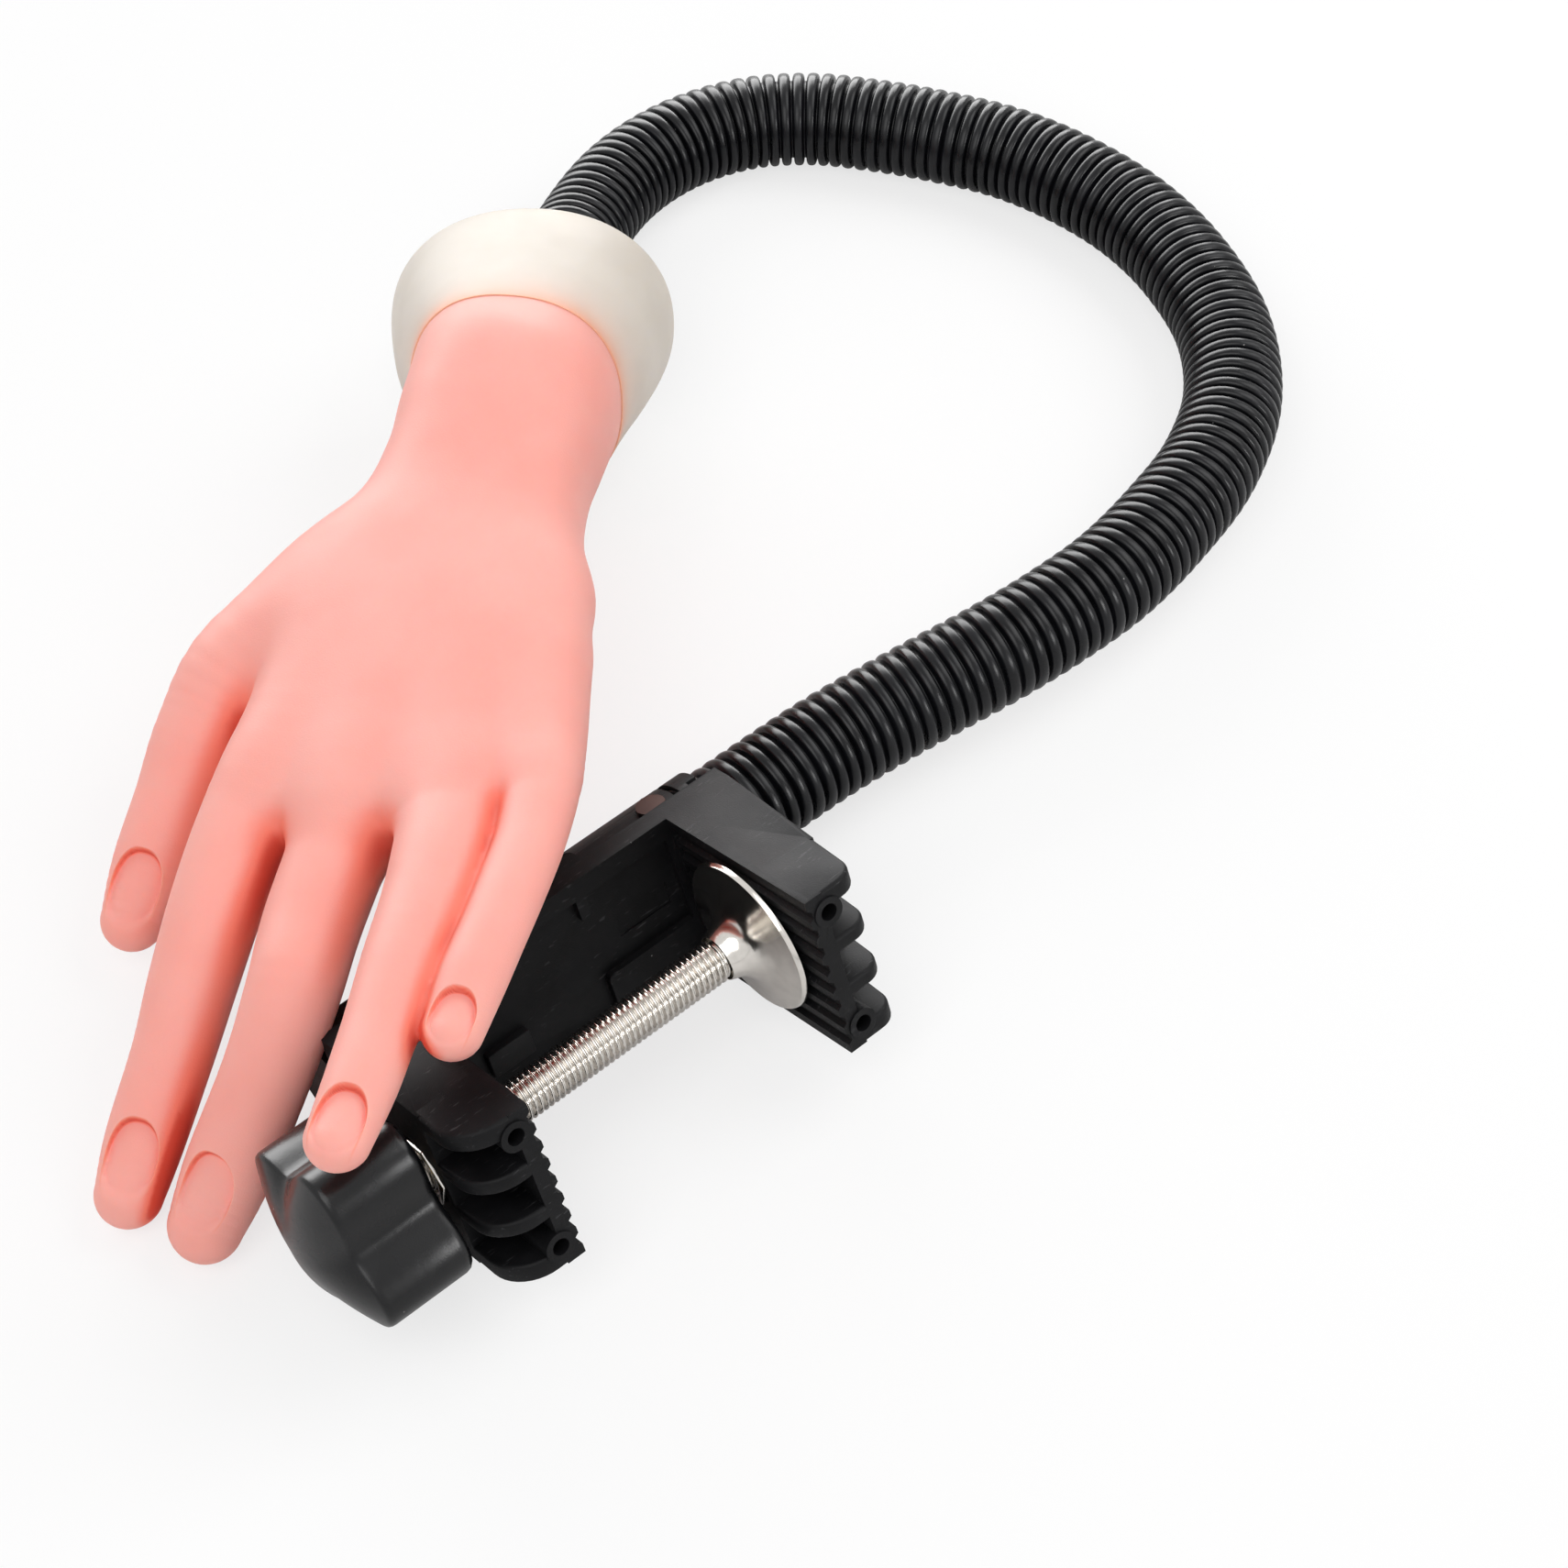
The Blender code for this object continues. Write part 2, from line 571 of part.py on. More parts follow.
def make_pad(axis):
    """The pressure pad's dished disc with its collar, and the rivet that lets the screw turn in it."""
    rim = -PAD_REST_GAP
    crown = rim - PAD_DOME_HEIGHT
    collar_end = crown - PAD_COLLAR_LENGTH
    floor = crown + PAD_SHEET
    socket = SCREW_RADIUS + SCREW_BORE_CLEARANCE
    hole = RIVET_SHANK_RADIUS + CLEARANCE
    dome = []
    steps = 4
    for i in range(steps + 1):
        angle = math.radians(90 * i / steps)
        reach = PAD_RADIUS - PAD_LIP - PAD_COLLAR_RADIUS
        dome.append((
            PAD_COLLAR_RADIUS + reach * math.cos(angle),
            rim - PAD_LIP - (PAD_DOME_HEIGHT - PAD_LIP) * math.sin(angle),
        ))
    inner = [(r - PAD_SHEET * 0.5, x + PAD_SHEET) for r, x in dome]
    profile = (
        [(PAD_RADIUS, rim), (PAD_RADIUS, rim - PAD_LIP)]
        + dome
        + [(PAD_COLLAR_RADIUS, collar_end), (socket, collar_end), (socket, crown)]
        + [(hole, crown), (hole, floor)]
        + inner[::-1]
        + [(PAD_RADIUS - PAD_LIP, rim)]
    )
    turned("pressure_pad", profile, axis, "nickel", sides=PAD_SIDES)
    head = floor + CLEARANCE
    top, end = head + RIVET_HEAD_HEIGHT, head - RIVET_SHANK_LENGTH
    turned(
        "pad_rivet",
        [(0, top), (RIVET_HEAD_RADIUS * 0.8, top), (RIVET_HEAD_RADIUS, head), (RIVET_SHANK_RADIUS, head),
         (RIVET_SHANK_RADIUS, end), (0, end)],
        axis, "zinc_steel", sides=SMALL_SIDES,
    )
    return crown, end


def make_screw(root):
    """Everything on the clamping screw's axis, hung on an empty there."""
    axis = empty("screw_axis", root, (0, -SCREW_DEPTH, 0))
    near = make_knob(axis)
    crown, rivet_end = make_pad(axis)
    tip = crown - CLEARANCE
    end = near - SCREW_KNOB_ENGAGEMENT
    screw = rod("clamp_screw", (tip, 0, 0), (end, 0, 0), SCREW_RADIUS, axis, "nickel")
    rivet_hole = rod(
        "rivet_hole", (tip + OVERRUN, 0, 0), (rivet_end - CLEARANCE, 0, 0),
        RIVET_SHANK_RADIUS + CLEARANCE, axis, sides=SMALL_SIDES,
    )
    cut(screw, rivet_hole)
    nut_outer = SCREW_JAW_OUTER - NUT_PROUD
    nut = rod(
        "screw_nut", (nut_outer, 0, 0), (nut_outer + NUT_THICKNESS, 0, 0), NUT_ACROSS_FLATS / math.sqrt(3),
        axis, "nickel", sides=6,
    )
    nut_bore = rod(
        "nut_bore", (nut_outer - OVERRUN, 0, 0), (nut_outer + NUT_THICKNESS + OVERRUN, 0, 0),
        SCREW_RADIUS + CLEARANCE, axis,
    )
    cut(nut, nut_bore)


def spline_points(points, spacing):
    """An even number of even steps along a smooth curve through the given points, ends included."""
    fine = []
    parts = 12
    ends = [2 * points[0] - points[1]] + points + [2 * points[-1] - points[-2]]
    for a, b, c, d in zip(ends, ends[1:], ends[2:], ends[3:]):
        for i in range(parts):
            t = i / parts
            bow = (2 * a - 5 * b + 4 * c - d) * t ** 2 + (3 * b - a - 3 * c + d) * t ** 3
            fine.append((2 * b + (c - a) * t + bow) / 2)
    fine.append(points[-1])
    length = sum((b - a).length for a, b in zip(fine, fine[1:]))
    count = 2 * round(length / spacing / 2)
    step = length / count
    even = [fine[0]]
    travelled, target = 0, step
    for a, b in zip(fine, fine[1:]):
        run = (b - a).length
        while len(even) < count and travelled + run >= target:
            even.append(a.lerp(b, (target - travelled) / run))
            target += step
        travelled += run
    return even + [fine[-1]]


def tube_mesh(name, points, radii):
    """A mesh tube through the points, with a radius at each and closed ends."""
    curve = bpy.data.curves.new(name, "CURVE")
    curve.dimensions = "3D"
    curve.twist_mode = "MINIMUM"
    curve.bevel_depth = 1
    curve.bevel_resolution = 2
    curve.use_fill_caps = True
    spline = curve.splines.new("POLY")
    spline.points.add(len(points) - 1)
    for point, place, radius in zip(spline.points, points, radii):
        point.co = (*place, 1)
        point.radius = radius
    shape = bmesh.new()
    shape.from_mesh(evaluated_mesh(curve))
    bmesh.ops.remove_doubles(shape, verts=shape.verts, dist=CLEARANCE / 10)
    return mesh_from(name, shape)


def arm_points(root, neck):
    """Half a rib's pitch apart, from the arm's end in the socket to its end behind the hand's neck."""
    mouth = root.matrix_world @ Vector((FIXED_JAW_ROOT, SOCKET_OFFSET, 0))
    back = mouth - Vector((ARM_SEAT, 0, 0))
    before, last = (Vector(share[:3]) for share in ARM_ROUTE_SHARES[-2:])
    reach = neck - NECK_GAP * (last - before).normalized() - mouth
    route = [back]
    for x, y, z, pull in ARM_ROUTE_SHARES:
        route.append(mouth + ARM_SPAN * Vector((x, y, z)) + pull * reach)
    return spline_points(route, RIB_PITCH / 2)


def shortened(points, start, end):
    """The points with the first moved in along the tube by start, and the last by end."""
    first = points[0] + (points[1] - points[0]).normalized() * start
    last = points[-1] + (points[-2] - points[-1]).normalized() * end
    return [first] + points[1:-1] + [last]


def make_arm(points):
    """The sleeve's ribbed stretches, cut halfway between bends, and the core's, cut at the bends."""
    total = len(points) - 1
    bends = [2 * round(share * total / 2) for share in BEND_SHARES]
    halves = [2 * round((a + b) / 4) for a, b in zip(bends, bends[1:])]
    for number, (first, last) in enumerate(zip([0] + halves, halves + [total]), 1):
        run = points[first:last + 1]
        ends = shortened(run, CLEARANCE / 2, CLEARANCE / 2)
        radii = [ARM_RADIUS if i % 2 else ARM_RADIUS - ARM_GROOVE_DEPTH for i in range(len(run))]
        sleeve = as_object(
            f"arm_sleeve_{number}", tube_mesh("ribbed_sleeve", ends, radii), look="sleeve_plastic"
        )
        coarse = run[::4] + ([run[-1]] if (len(run) - 1) % 4 else [])
        bore = shortened(coarse, -OVERRUN, -OVERRUN)
        bore_radii = [CORE_RADIUS + 2 * CLEARANCE] * len(bore)
        cut(sleeve, as_object(f"sleeve_bore_{number}", tube_mesh("sleeve_bore", bore, bore_radii)))
    for number, (first, last) in enumerate(zip([0] + bends, bends + [total]), 1):
        run = points[first:last + 1]
        coarse = run[::4] + ([run[-1]] if (len(run) - 1) % 4 else [])
        start = CORE_BEND_GAP if first else CLEARANCE
        end = CORE_BEND_GAP if last < total else -CORE_IN_PLUG
        ends = shortened(coarse, start, end)
        core = tube_mesh("arm_core", ends, [CORE_RADIUS] * len(ends))
        as_object(f"arm_core_{number}", core, look="gooseneck_steel")
    return bends


def hand_point(share):
    forward, aside, up = share
    return Vector((HAND_LENGTH * forward, HAND_LENGTH * aside, HAND_RISE * up))


def oval(centre, side, up, half_width, half_height, count, power=2.0):
    """A ring of points round a centre, across side and up. A higher power makes it boxier."""
    ring = []
    for i in range(count):
        angle = 2 * math.pi * i / count
        c, s = math.cos(angle), math.sin(angle)
        reach = (abs(c) ** power + abs(s) ** power) ** (-1 / power)
        ring.append(centre + side * (half_width * c * reach) + up * (half_height * s * reach))
    return ring


def digit_rings(places, halves):
    """Rings along a digit that tapers with its half widths and ends in a round tip."""
    centres = [hand_point(place) for place in places]
    widths = [HAND_LENGTH * half for half in halves]
    rings = []
    for i, centre in enumerate(centres):
        forward = (centres[min(i + 1, len(centres) - 1)] - centres[max(i - 1, 0)]).normalized()
        side = forward.cross(Vector((0, 0, 1))).normalized()
        up = side.cross(forward)
        rings.append(oval(centre, side, up, widths[i], widths[i] * DIGIT_FLATNESS_SHARE, DIGIT_SIDES))
    reach = widths[-1]
    for i in range(1, TIP_RINGS + 1):
        angle = math.radians(80 * i / TIP_RINGS)
        centre = centres[-1] + forward * reach * math.sin(angle)
        width = widths[-1] * math.cos(angle)
        rings.append(oval(centre, side, up, width, width * DIGIT_FLATNESS_SHARE, DIGIT_SIDES))
    return rings


def nail_cutter(name, root):
    """A flat oval body that sinks a nail's recess into the back of a digit's end."""
    places, halves = DIGIT_SHARES[name]
    half_width, half_length = (HAND_LENGTH * share for share in NAIL_SHARES[name])
    before, last = hand_point(places[-2]), hand_point(places[-1])
    forward = (last - before).normalized()
    side = forward.cross(Vector((0, 0, 1))).normalized()
    up = side.cross(forward)
    centre = before.lerp(last, NAIL_PLACE_SHARE)
    thickness = HAND_LENGTH * (halves[-2] + halves[-1]) / 2 * DIGIT_FLATNESS_SHARE
    lift = centre + up * (thickness + NAIL_DEPTH)
    shape = bmesh.new()
    bmesh.ops.create_uvsphere(shape, u_segments=16, v_segments=8, radius=1)
    turn = Matrix((side, forward, up)).transposed().to_4x4()
    stretch = Matrix.Diagonal((half_width, half_length, NAIL_DEPTH * 2.6, 1))
    bmesh.ops.transform(shape, matrix=Matrix.Translation(lift) @ turn @ stretch, verts=shape.verts)
    return as_object(f"nail_recess_{name}", mesh_from(name, shape), root)


def palm_rings(margin=0.0):
    """The slices across wrist and palm, grown by a margin."""
    rings = []
    for share, roll in zip(PALM_SHARES, PALM_ROLLS):
        angle = math.radians(roll)
        side = Vector((0, math.cos(angle), math.sin(angle)))
        up = Vector((0, -math.sin(angle), math.cos(angle)))
        half_width, half_height = (HAND_LENGTH * size + margin for size in share[3:])
        rings.append(oval(
            hand_point(share[:3]), side, up, half_width, half_height, PALM_SIDES, PALM_SQUARENESS_SHARE
        ))
    return rings


def make_hand(root, plug_start, plug_end):
    """Palm and wrist as one loft with the digits, nail recesses and the plug's hole."""
    hand = loft("hand", palm_rings(), root, "hand_vinyl")
    for name, (places, halves) in DIGIT_SHARES.items():
        join(hand, loft(f"digit_{name}", digit_rings(places, halves), root))
    for name in DIGIT_SHARES:
        cut(hand, nail_cutter(name, root))
    turn = root.matrix_world.inverted()
    cut(hand, rod("plug_hole", turn @ plug_start, turn @ plug_end, PLUG_RADIUS + CLEARANCE, root))


def make_cuff(root, arm_end, arm_way):
    """A flared oval ring on the hand's back end, with a hole for the plug."""
    place, following = PALM_SHARES[0], PALM_SHARES[2]
    half_width, half_height = (HAND_LENGTH * size for size in place[3:])
    centre, ahead = hand_point(place[:3]), hand_point(following[:3])
    forward = (ahead - centre).normalized()
    side = Vector((0, 0, 1)).cross(forward).normalized()
    up = forward.cross(side)
    front = centre + forward * CUFF_OVERLAP
    rings = []
    for along, flare in CUFF_SHARES:
        rings.append(oval(
            front - forward * CUFF_LENGTH * along, side, up,
            half_width + CUFF_FLARE_WIDTH * flare, half_height + CUFF_FLARE_HEIGHT * flare, CUFF_SIDES,
        ))
    cuff = loft("wrist_cuff", rings, root, "cuff_vinyl")
    neck = palm_rings(CLEARANCE)
    cut(cuff, loft("cuff_bore", neck, root))
    turn = root.matrix_world.inverted()
    start = turn @ (arm_end - arm_way * CUFF_LENGTH)
    end = turn @ (arm_end + arm_way * CUFF_LENGTH)
    cut(cuff, rod("cuff_plug_hole", start, end, PLUG_RADIUS + CLEARANCE, root))


def make_wrist(arm_end, arm_way):
    """The ferrule at the sleeve's end, the plug on the core, and the ring that keeps it there."""
    start = arm_end + arm_way * CLEARANCE
    ferrule_end = start + arm_way * FERRULE_LENGTH
    ferrule = rod("arm_ferrule", start, ferrule_end, FERRULE_RADIUS, None, "ferrule_plastic")
    plug_start = ferrule_end + arm_way * CLEARANCE
    plug_end = plug_start + arm_way * PLUG_LENGTH
    plug = rod("wrist_plug", plug_start, plug_end, PLUG_RADIUS, None, "plug_plastic")
    core_bore = rod(
        "wrist_core_bore", arm_end - arm_way * OVERRUN, plug_end + arm_way * OVERRUN, CORE_RADIUS + CLEARANCE
    )
    retainer_end = arm_end + arm_way * CORE_IN_PLUG
    retainer_start = retainer_end - arm_way * RETAINER_LENGTH
    counterbore = rod(
        "retainer_bore", retainer_start - arm_way * CLEARANCE, plug_end + arm_way * OVERRUN,
        RETAINER_RADIUS + CLEARANCE,
    )
    retainer = rod("core_retainer", retainer_start, retainer_end, RETAINER_RADIUS, None, "zinc_steel")
    cut(ferrule, core_bore)
    cut(plug, core_bore, counterbore)
    cut(retainer, core_bore)
    return plug_end


root = empty("clamp_root", place=(CLAMP_PLACE_X, CLAMP_PLACE_Y, CLAMP_HEIGHT), turn=(-CLAMP_TILT, 0, 0))
crossing = Vector((CLAMP_PLACE_X + CROSSING_FROM_CLAMP_X, CLAMP_PLACE_Y + CROSSING_FROM_CLAMP_Y, 0))
heading = Matrix.Rotation(math.radians(HAND_HEADING), 3, "Z")
hand_root = empty(
    "hand_root", place=crossing - heading @ hand_point((*CROSSING_SHARE, 0)), turn=(0, 0, HAND_HEADING)
)
bpy.context.view_layer.update()
make_clamp(root)
make_screw(root)
line = arm_points(root, hand_root.matrix_world @ hand_point(PALM_SHARES[0][:3]))
make_arm(line)
arm_way = (line[-1] - line[-2]).normalized()
plug_end = make_wrist(line[-1], arm_way)
make_hand(hand_root, line[-1] - arm_way * OVERRUN, plug_end + arm_way * CLEARANCE)
make_cuff(hand_root, line[-1], arm_way)
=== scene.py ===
"""A nail practice hand on a bendable ribbed arm with a screw clamp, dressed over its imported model."""

import math

import bmesh
import bpy
import numpy as np
from mathutils import Matrix, Vector


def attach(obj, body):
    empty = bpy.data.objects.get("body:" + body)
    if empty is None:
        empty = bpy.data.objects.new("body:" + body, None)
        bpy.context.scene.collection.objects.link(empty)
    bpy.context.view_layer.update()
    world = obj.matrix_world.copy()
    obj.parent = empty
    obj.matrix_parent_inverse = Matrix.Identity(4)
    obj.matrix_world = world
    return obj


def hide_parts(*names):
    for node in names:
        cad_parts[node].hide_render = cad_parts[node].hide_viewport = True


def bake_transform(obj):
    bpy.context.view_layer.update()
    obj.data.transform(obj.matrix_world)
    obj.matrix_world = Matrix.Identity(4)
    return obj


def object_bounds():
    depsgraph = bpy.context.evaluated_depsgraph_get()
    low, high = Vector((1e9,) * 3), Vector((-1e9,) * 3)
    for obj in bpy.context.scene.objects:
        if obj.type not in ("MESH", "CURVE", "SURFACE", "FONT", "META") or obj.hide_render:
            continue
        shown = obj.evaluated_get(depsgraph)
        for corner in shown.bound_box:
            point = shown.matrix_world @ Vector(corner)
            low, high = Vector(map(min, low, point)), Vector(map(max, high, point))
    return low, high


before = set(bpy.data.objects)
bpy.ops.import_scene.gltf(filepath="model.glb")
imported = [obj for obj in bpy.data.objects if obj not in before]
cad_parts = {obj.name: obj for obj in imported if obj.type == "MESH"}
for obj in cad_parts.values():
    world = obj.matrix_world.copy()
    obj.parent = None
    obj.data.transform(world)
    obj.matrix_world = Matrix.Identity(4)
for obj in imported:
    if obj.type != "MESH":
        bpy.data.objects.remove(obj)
CAD_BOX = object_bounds()

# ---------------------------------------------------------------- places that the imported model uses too
TILT = math.radians(19.23)
HALF_WIDTH = 0.018
SPINE_THICKNESS = 0.0034
JAW_GAP = 0.062
JAW_DEPTH = 0.0422
CLAMP_HEIGHT = HALF_WIDTH * math.cos(TILT) + SPINE_THICKNESS * math.sin(TILT)
CLAMP_TOP = CLAMP_HEIGHT + HALF_WIDTH * math.cos(TILT) + JAW_DEPTH * math.sin(TILT)
CLAMP_PLACE = Vector((-0.04453, -0.06863, CLAMP_HEIGHT))
CLAMP_AT = Matrix.Translation(CLAMP_PLACE) @ Matrix.Rotation(-TILT, 4, "X")
HAND_LENGTH = 0.1610
HAND_RISE = 3.2855 * CLAMP_TOP
HAND_TURN = Matrix.Rotation(math.radians(214.25), 4, "Z")
# The point of the hand that crosses the clamp, in the hand's directions and on the surface.
HAND_CROSSING = Vector((0.760 * HAND_LENGTH, 0.120 * HAND_LENGTH, 0))
CROSSING = Vector((CLAMP_PLACE.x - 0.0694, CLAMP_PLACE.y + 0.0050, 0))
HAND_AT = Matrix.Translation(CROSSING - HAND_TURN @ HAND_CROSSING) @ HAND_TURN
SCREW_JAW_OUTER = -0.0762
SOCKET_Y = 0.0130
SOCKET_RADIUS = 0.0118
MOUTH_X = 0.0152
ARM_SEAT = 0.0048
SOCKET_BORE = 0.0109
RIB_PITCH = 0.0032
SCREW_Y = -0.0199


# ---------------------------------------------------------------- finishes
class Wire:
    """A socket of a finish, with the sums that the finishes do on it."""

    def __init__(self, look, socket):
        self.look, self.socket = look, socket

    def sum(self, operation, first, second):
        return self.look.node("ShaderNodeMath", {"operation": operation}, {0: first, 1: second})

    def __add__(self, other):
        return self.sum("ADD", self, other)

    def __sub__(self, other):
        return self.sum("SUBTRACT", self, other)

    def __rsub__(self, other):
        return self.sum("SUBTRACT", other, self)

    def __mul__(self, other):
        return self.sum("MULTIPLY", self, other)

    __radd__ = __add__
    __rmul__ = __mul__

    def between(self, low, high):
        """0 up to low and 1 from high on, with a smooth rise. With low above high it falls instead."""
        return self.look.node(
            "ShaderNodeMapRange", {"interpolation_type": "SMOOTHSTEP"},
            {"Value": self, "From Min": low, "From Max": high},
        )


class Look:
    """A finish: a Principled shader that holds what is even, and the nodes for what varies."""

    def __init__(self, name, even):
        self.material = bpy.data.materials.new(name)
        self.material.use_nodes = True
        self.tree = self.material.node_tree
        self.shader = self.tree.nodes["Principled BSDF"]
        for label, value in even.items():
            self.shader.inputs[label].default_value = value
        self.place = self.node("ShaderNodeTexCoord", output="Object")

    def node(self, kind, settings=None, inputs=None, output=0):
        made = self.tree.nodes.new(kind)
        for key, value in (settings or {}).items():
            setattr(made, key, value)
        for key, value in (inputs or {}).items():
            if isinstance(value, Wire):
                self.tree.links.new(value.socket, made.inputs[key])
            else:
                made.inputs[key].default_value = value
        return Wire(self, made.outputs[output])

    def stretched(self, size, stretch):
        scale = tuple(1 / (size * by) for by in stretch)
        return self.node("ShaderNodeMapping", None, {"Vector": self.place, "Scale": scale})

    def noise(self, size, detail=2.0, stretch=(1, 1, 1)):
        place = self.stretched(size, stretch)
        return self.node("ShaderNodeTexNoise", None, {"Vector": place, "Scale": 1.0, "Detail": detail})

    def spots(self, size):
        """How far a place is from the nearest spot, as a share of the spots' spacing."""
        place = self.stretched(size, (1, 1, 1))
        return self.node("ShaderNodeTexVoronoi", None, {"Vector": place, "Scale": 1.0})

    def painted(self, name):
        """A number that the mesh carries at each of its points."""
        return self.node("ShaderNodeAttribute", {"attribute_name": name}, output="Fac")

    def mix(self, factor, first, second):
        inputs = {0: factor}
        for key, colour in ((6, first), (7, second)):
            inputs[key] = colour if isinstance(colour, Wire) else (*colour, 1)
        return self.node("ShaderNodeMix", {"data_type": "RGBA"}, inputs, output=2)

    def bump(self, height, depth, under=None):
        inputs = {"Height": height, "Distance": depth, "Strength": 1.0}
        if under:
            inputs["Normal"] = under
        return self.node("ShaderNodeBump", None, inputs)

    def feed(self, label, wire):
        self.tree.links.new(wire.socket, self.shader.inputs[label])


def shade(colour, by):
    return tuple(part * by for part in colour)


def moulded_black(name, colour, roughness, grain, specular, scuffs=0.0):
    """Black plastic from a mould: cloudy gloss, fine grain, a few scuffs and specks of dust."""
    look = Look(name, {"Specular IOR Level": specular})
    cloud = look.noise(0.009, 3)
    grit = look.noise(0.00030, 3)
    base = look.mix(cloud.between(0.35, 0.65), shade(colour, 0.75), shade(colour, 1.3))
    if scuffs:
        strokes = look.noise(0.00026, 2, (11, 2.0, 3.2)).between(0.62, 0.72)
        patches = look.noise(0.011).between(0.42, 0.62)
        base = look.mix(strokes * patches * scuffs, base, (0.10, 0.10, 0.105))
    dust = look.spots(0.0052).between(0.035, 0.02) * look.noise(0.004, 0).between(0.5, 0.56)
    look.feed("Base Color", look.mix(dust, base, (0.35, 0.34, 0.33)))
    look.feed("Roughness", cloud * 0.16 + (roughness - 0.08))
    look.feed("Normal", look.bump(grit, grain, look.bump(cloud, 0.00012)))
    return look


def plated(name, colour, roughness, wear=0.06):
    """Bright plate with a faint haze and fine marks."""
    look = Look(name, {"Metallic": 1.0})
    haze = look.noise(0.0025, 3)
    marks = look.noise(0.00025, 2, (1, 6, 6))
    look.feed("Base Color", look.mix(haze.between(0.3, 0.7), shade(colour, 0.9), colour))
    look.feed("Roughness", haze * wear + marks * wear + (roughness - wear))
    look.feed("Normal", look.bump(marks, 0.000012))
    return look


def hand_finish():
    """Soft skin-coloured vinyl: matte, with painted shade that turns it warm red in its folds and dark red in
    the deepest of them.
    """
    look = Look("hand_vinyl_soft", {
        "Subsurface Weight": 0.35, "Subsurface Radius": (1.0, 0.34, 0.2), "Subsurface Scale": 0.008,
        "Specular IOR Level": 0.20,
    })
    fold_shade = look.painted("fold_shade")
    cloud = look.noise(0.020, 2)
    skin = look.mix(cloud.between(0.3, 0.7), (0.98, 0.395, 0.338), (1.0, 0.430, 0.372))
    # Painted shade and glow in the folds: warm red where they are shallow, dark red where they are deepest.
    warm_shade = look.mix(fold_shade.between(0.10, 0.72), skin, (0.96, 0.250, 0.178))
    look.feed("Base Color", look.mix(fold_shade.between(0.64, 1.0), warm_shade, (0.72, 0.098, 0.062)))
    look.feed("Roughness", look.noise(0.004) * 0.10 + 0.46)
    look.feed("Normal", look.bump(look.noise(0.00032, 2), 0.000035, look.bump(cloud, 0.0002)))
    return look


def cuff_finish():
    """Milky vinyl with a painted orange glow along its thin front edge, where the hand's colour would shine
    through.
    """
    look = Look("cuff_vinyl_milky", {
        "Subsurface Weight": 0.45, "Subsurface Radius": (1.0, 0.85, 0.6), "Subsurface Scale": 0.008,
        "Specular IOR Level": 0.20,
    })
    glow = look.painted("glow")
    cloud = look.noise(0.015, 2)
    milk = look.mix(cloud.between(0.3, 0.7), (0.66, 0.60, 0.53), (0.70, 0.64, 0.57))
    # Painted glow: the colour turns orange towards the front edge.
    look.feed("Base Color", look.mix(glow, milk, (1.0, 0.40, 0.25)))
    look.feed("Roughness", look.noise(0.005) * 0.12 + 0.42)
    look.feed("Normal", look.bump(look.noise(0.0004, 2), 0.00002))
    return look


def plain_moulding(name, colour, roughness):
    look = Look(name, {"Specular IOR Level": 0.4})
    cloud = look.noise(0.006, 3)
    look.feed("Base Color", look.mix(cloud.between(0.3, 0.7), shade(colour, 0.9), shade(colour, 1.08)))
    look.feed("Roughness", cloud * 0.1 + (roughness - 0.05))
    look.feed("Normal", look.bump(look.noise(0.0003, 2), 0.00001))
    return look


CLAMP_BLACK = moulded_black("clamp_black", (0.0042, 0.0042, 0.0048), 0.50, 0.000034, 0.14, scuffs=0.30)
KNOB_BLACK = moulded_black("knob_black", (0.0032, 0.0032, 0.0038), 0.27, 0.000020, 0.32)
ARM_BLACK = moulded_black("arm_black", (0.0036, 0.0038, 0.0050), 0.28, 0.000008, 0.24)
DARK_STEEL = plated("dark_steel", (0.060, 0.040, 0.036), 0.42)
NICKEL = plated("bright_nickel", (0.66, 0.63, 0.59), 0.17)
ZINC = plated("zinc_plate", (0.50, 0.51, 0.53), 0.34)
BRASS = plated("turned_brass", (0.62, 0.44, 0.18), 0.34)
WOUND_STEEL = plated("wound_steel", (0.32, 0.32, 0.33), 0.40)
HAND_SOFT = hand_finish()
CUFF_MILKY = cuff_finish()
FERRULE_GREY = plain_moulding("ferrule_grey", (0.20, 0.20, 0.21), 0.45)
PLUG_LIGHT = plain_moulding("plug_light", (0.60, 0.58, 0.54), 0.50)


# ---------------------------------------------------------------- making pieces
def linked(name, data):
    """A new object in the scene."""
    made = bpy.data.objects.new(name, data)
    bpy.context.scene.collection.objects.link(made)
    return made


def dressed(name, mesh, look, body, replaced, sharp=35):
    """A finished piece: its material, and the body that it rides on."""
    piece = linked(name, mesh)
    mesh.materials.clear()
    mesh.materials.append(look.material)
    mesh.shade_smooth()
    mesh.set_sharp_from_angle(angle=math.radians(sharp))
    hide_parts(*replaced)
    if body:
        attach(piece, body)
    return piece


def skin(name, rings, wrap=False, at=None):
    """A mesh over rings of equally many points. Wrap joins the last to the first, else caps close them."""
    rings = np.asarray(rings, float)
    count, around = rings.shape[:2]
    index = np.arange(count * around).reshape(count, around)
    low = index if wrap else index[:-1]
    high = np.roll(index, -1, 0) if wrap else index[1:]
    quads = np.stack([low, np.roll(low, -1, 1), np.roll(high, -1, 1), high], -1).reshape(-1, 4).tolist()
    if not wrap:
        quads += [index[0][::-1].tolist(), index[-1].tolist()]
    mesh = bpy.data.meshes.new(name)
    mesh.from_pydata(rings.reshape(-1, 3).tolist(), [], quads)
    if at:
        mesh.transform(at)
    outward(mesh)
    return mesh


def outward(mesh):
    shape = bmesh.new()
    shape.from_mesh(mesh)
    bmesh.ops.recalc_face_normals(shape, faces=shape.faces)
    shape.to_mesh(mesh)
    shape.free()


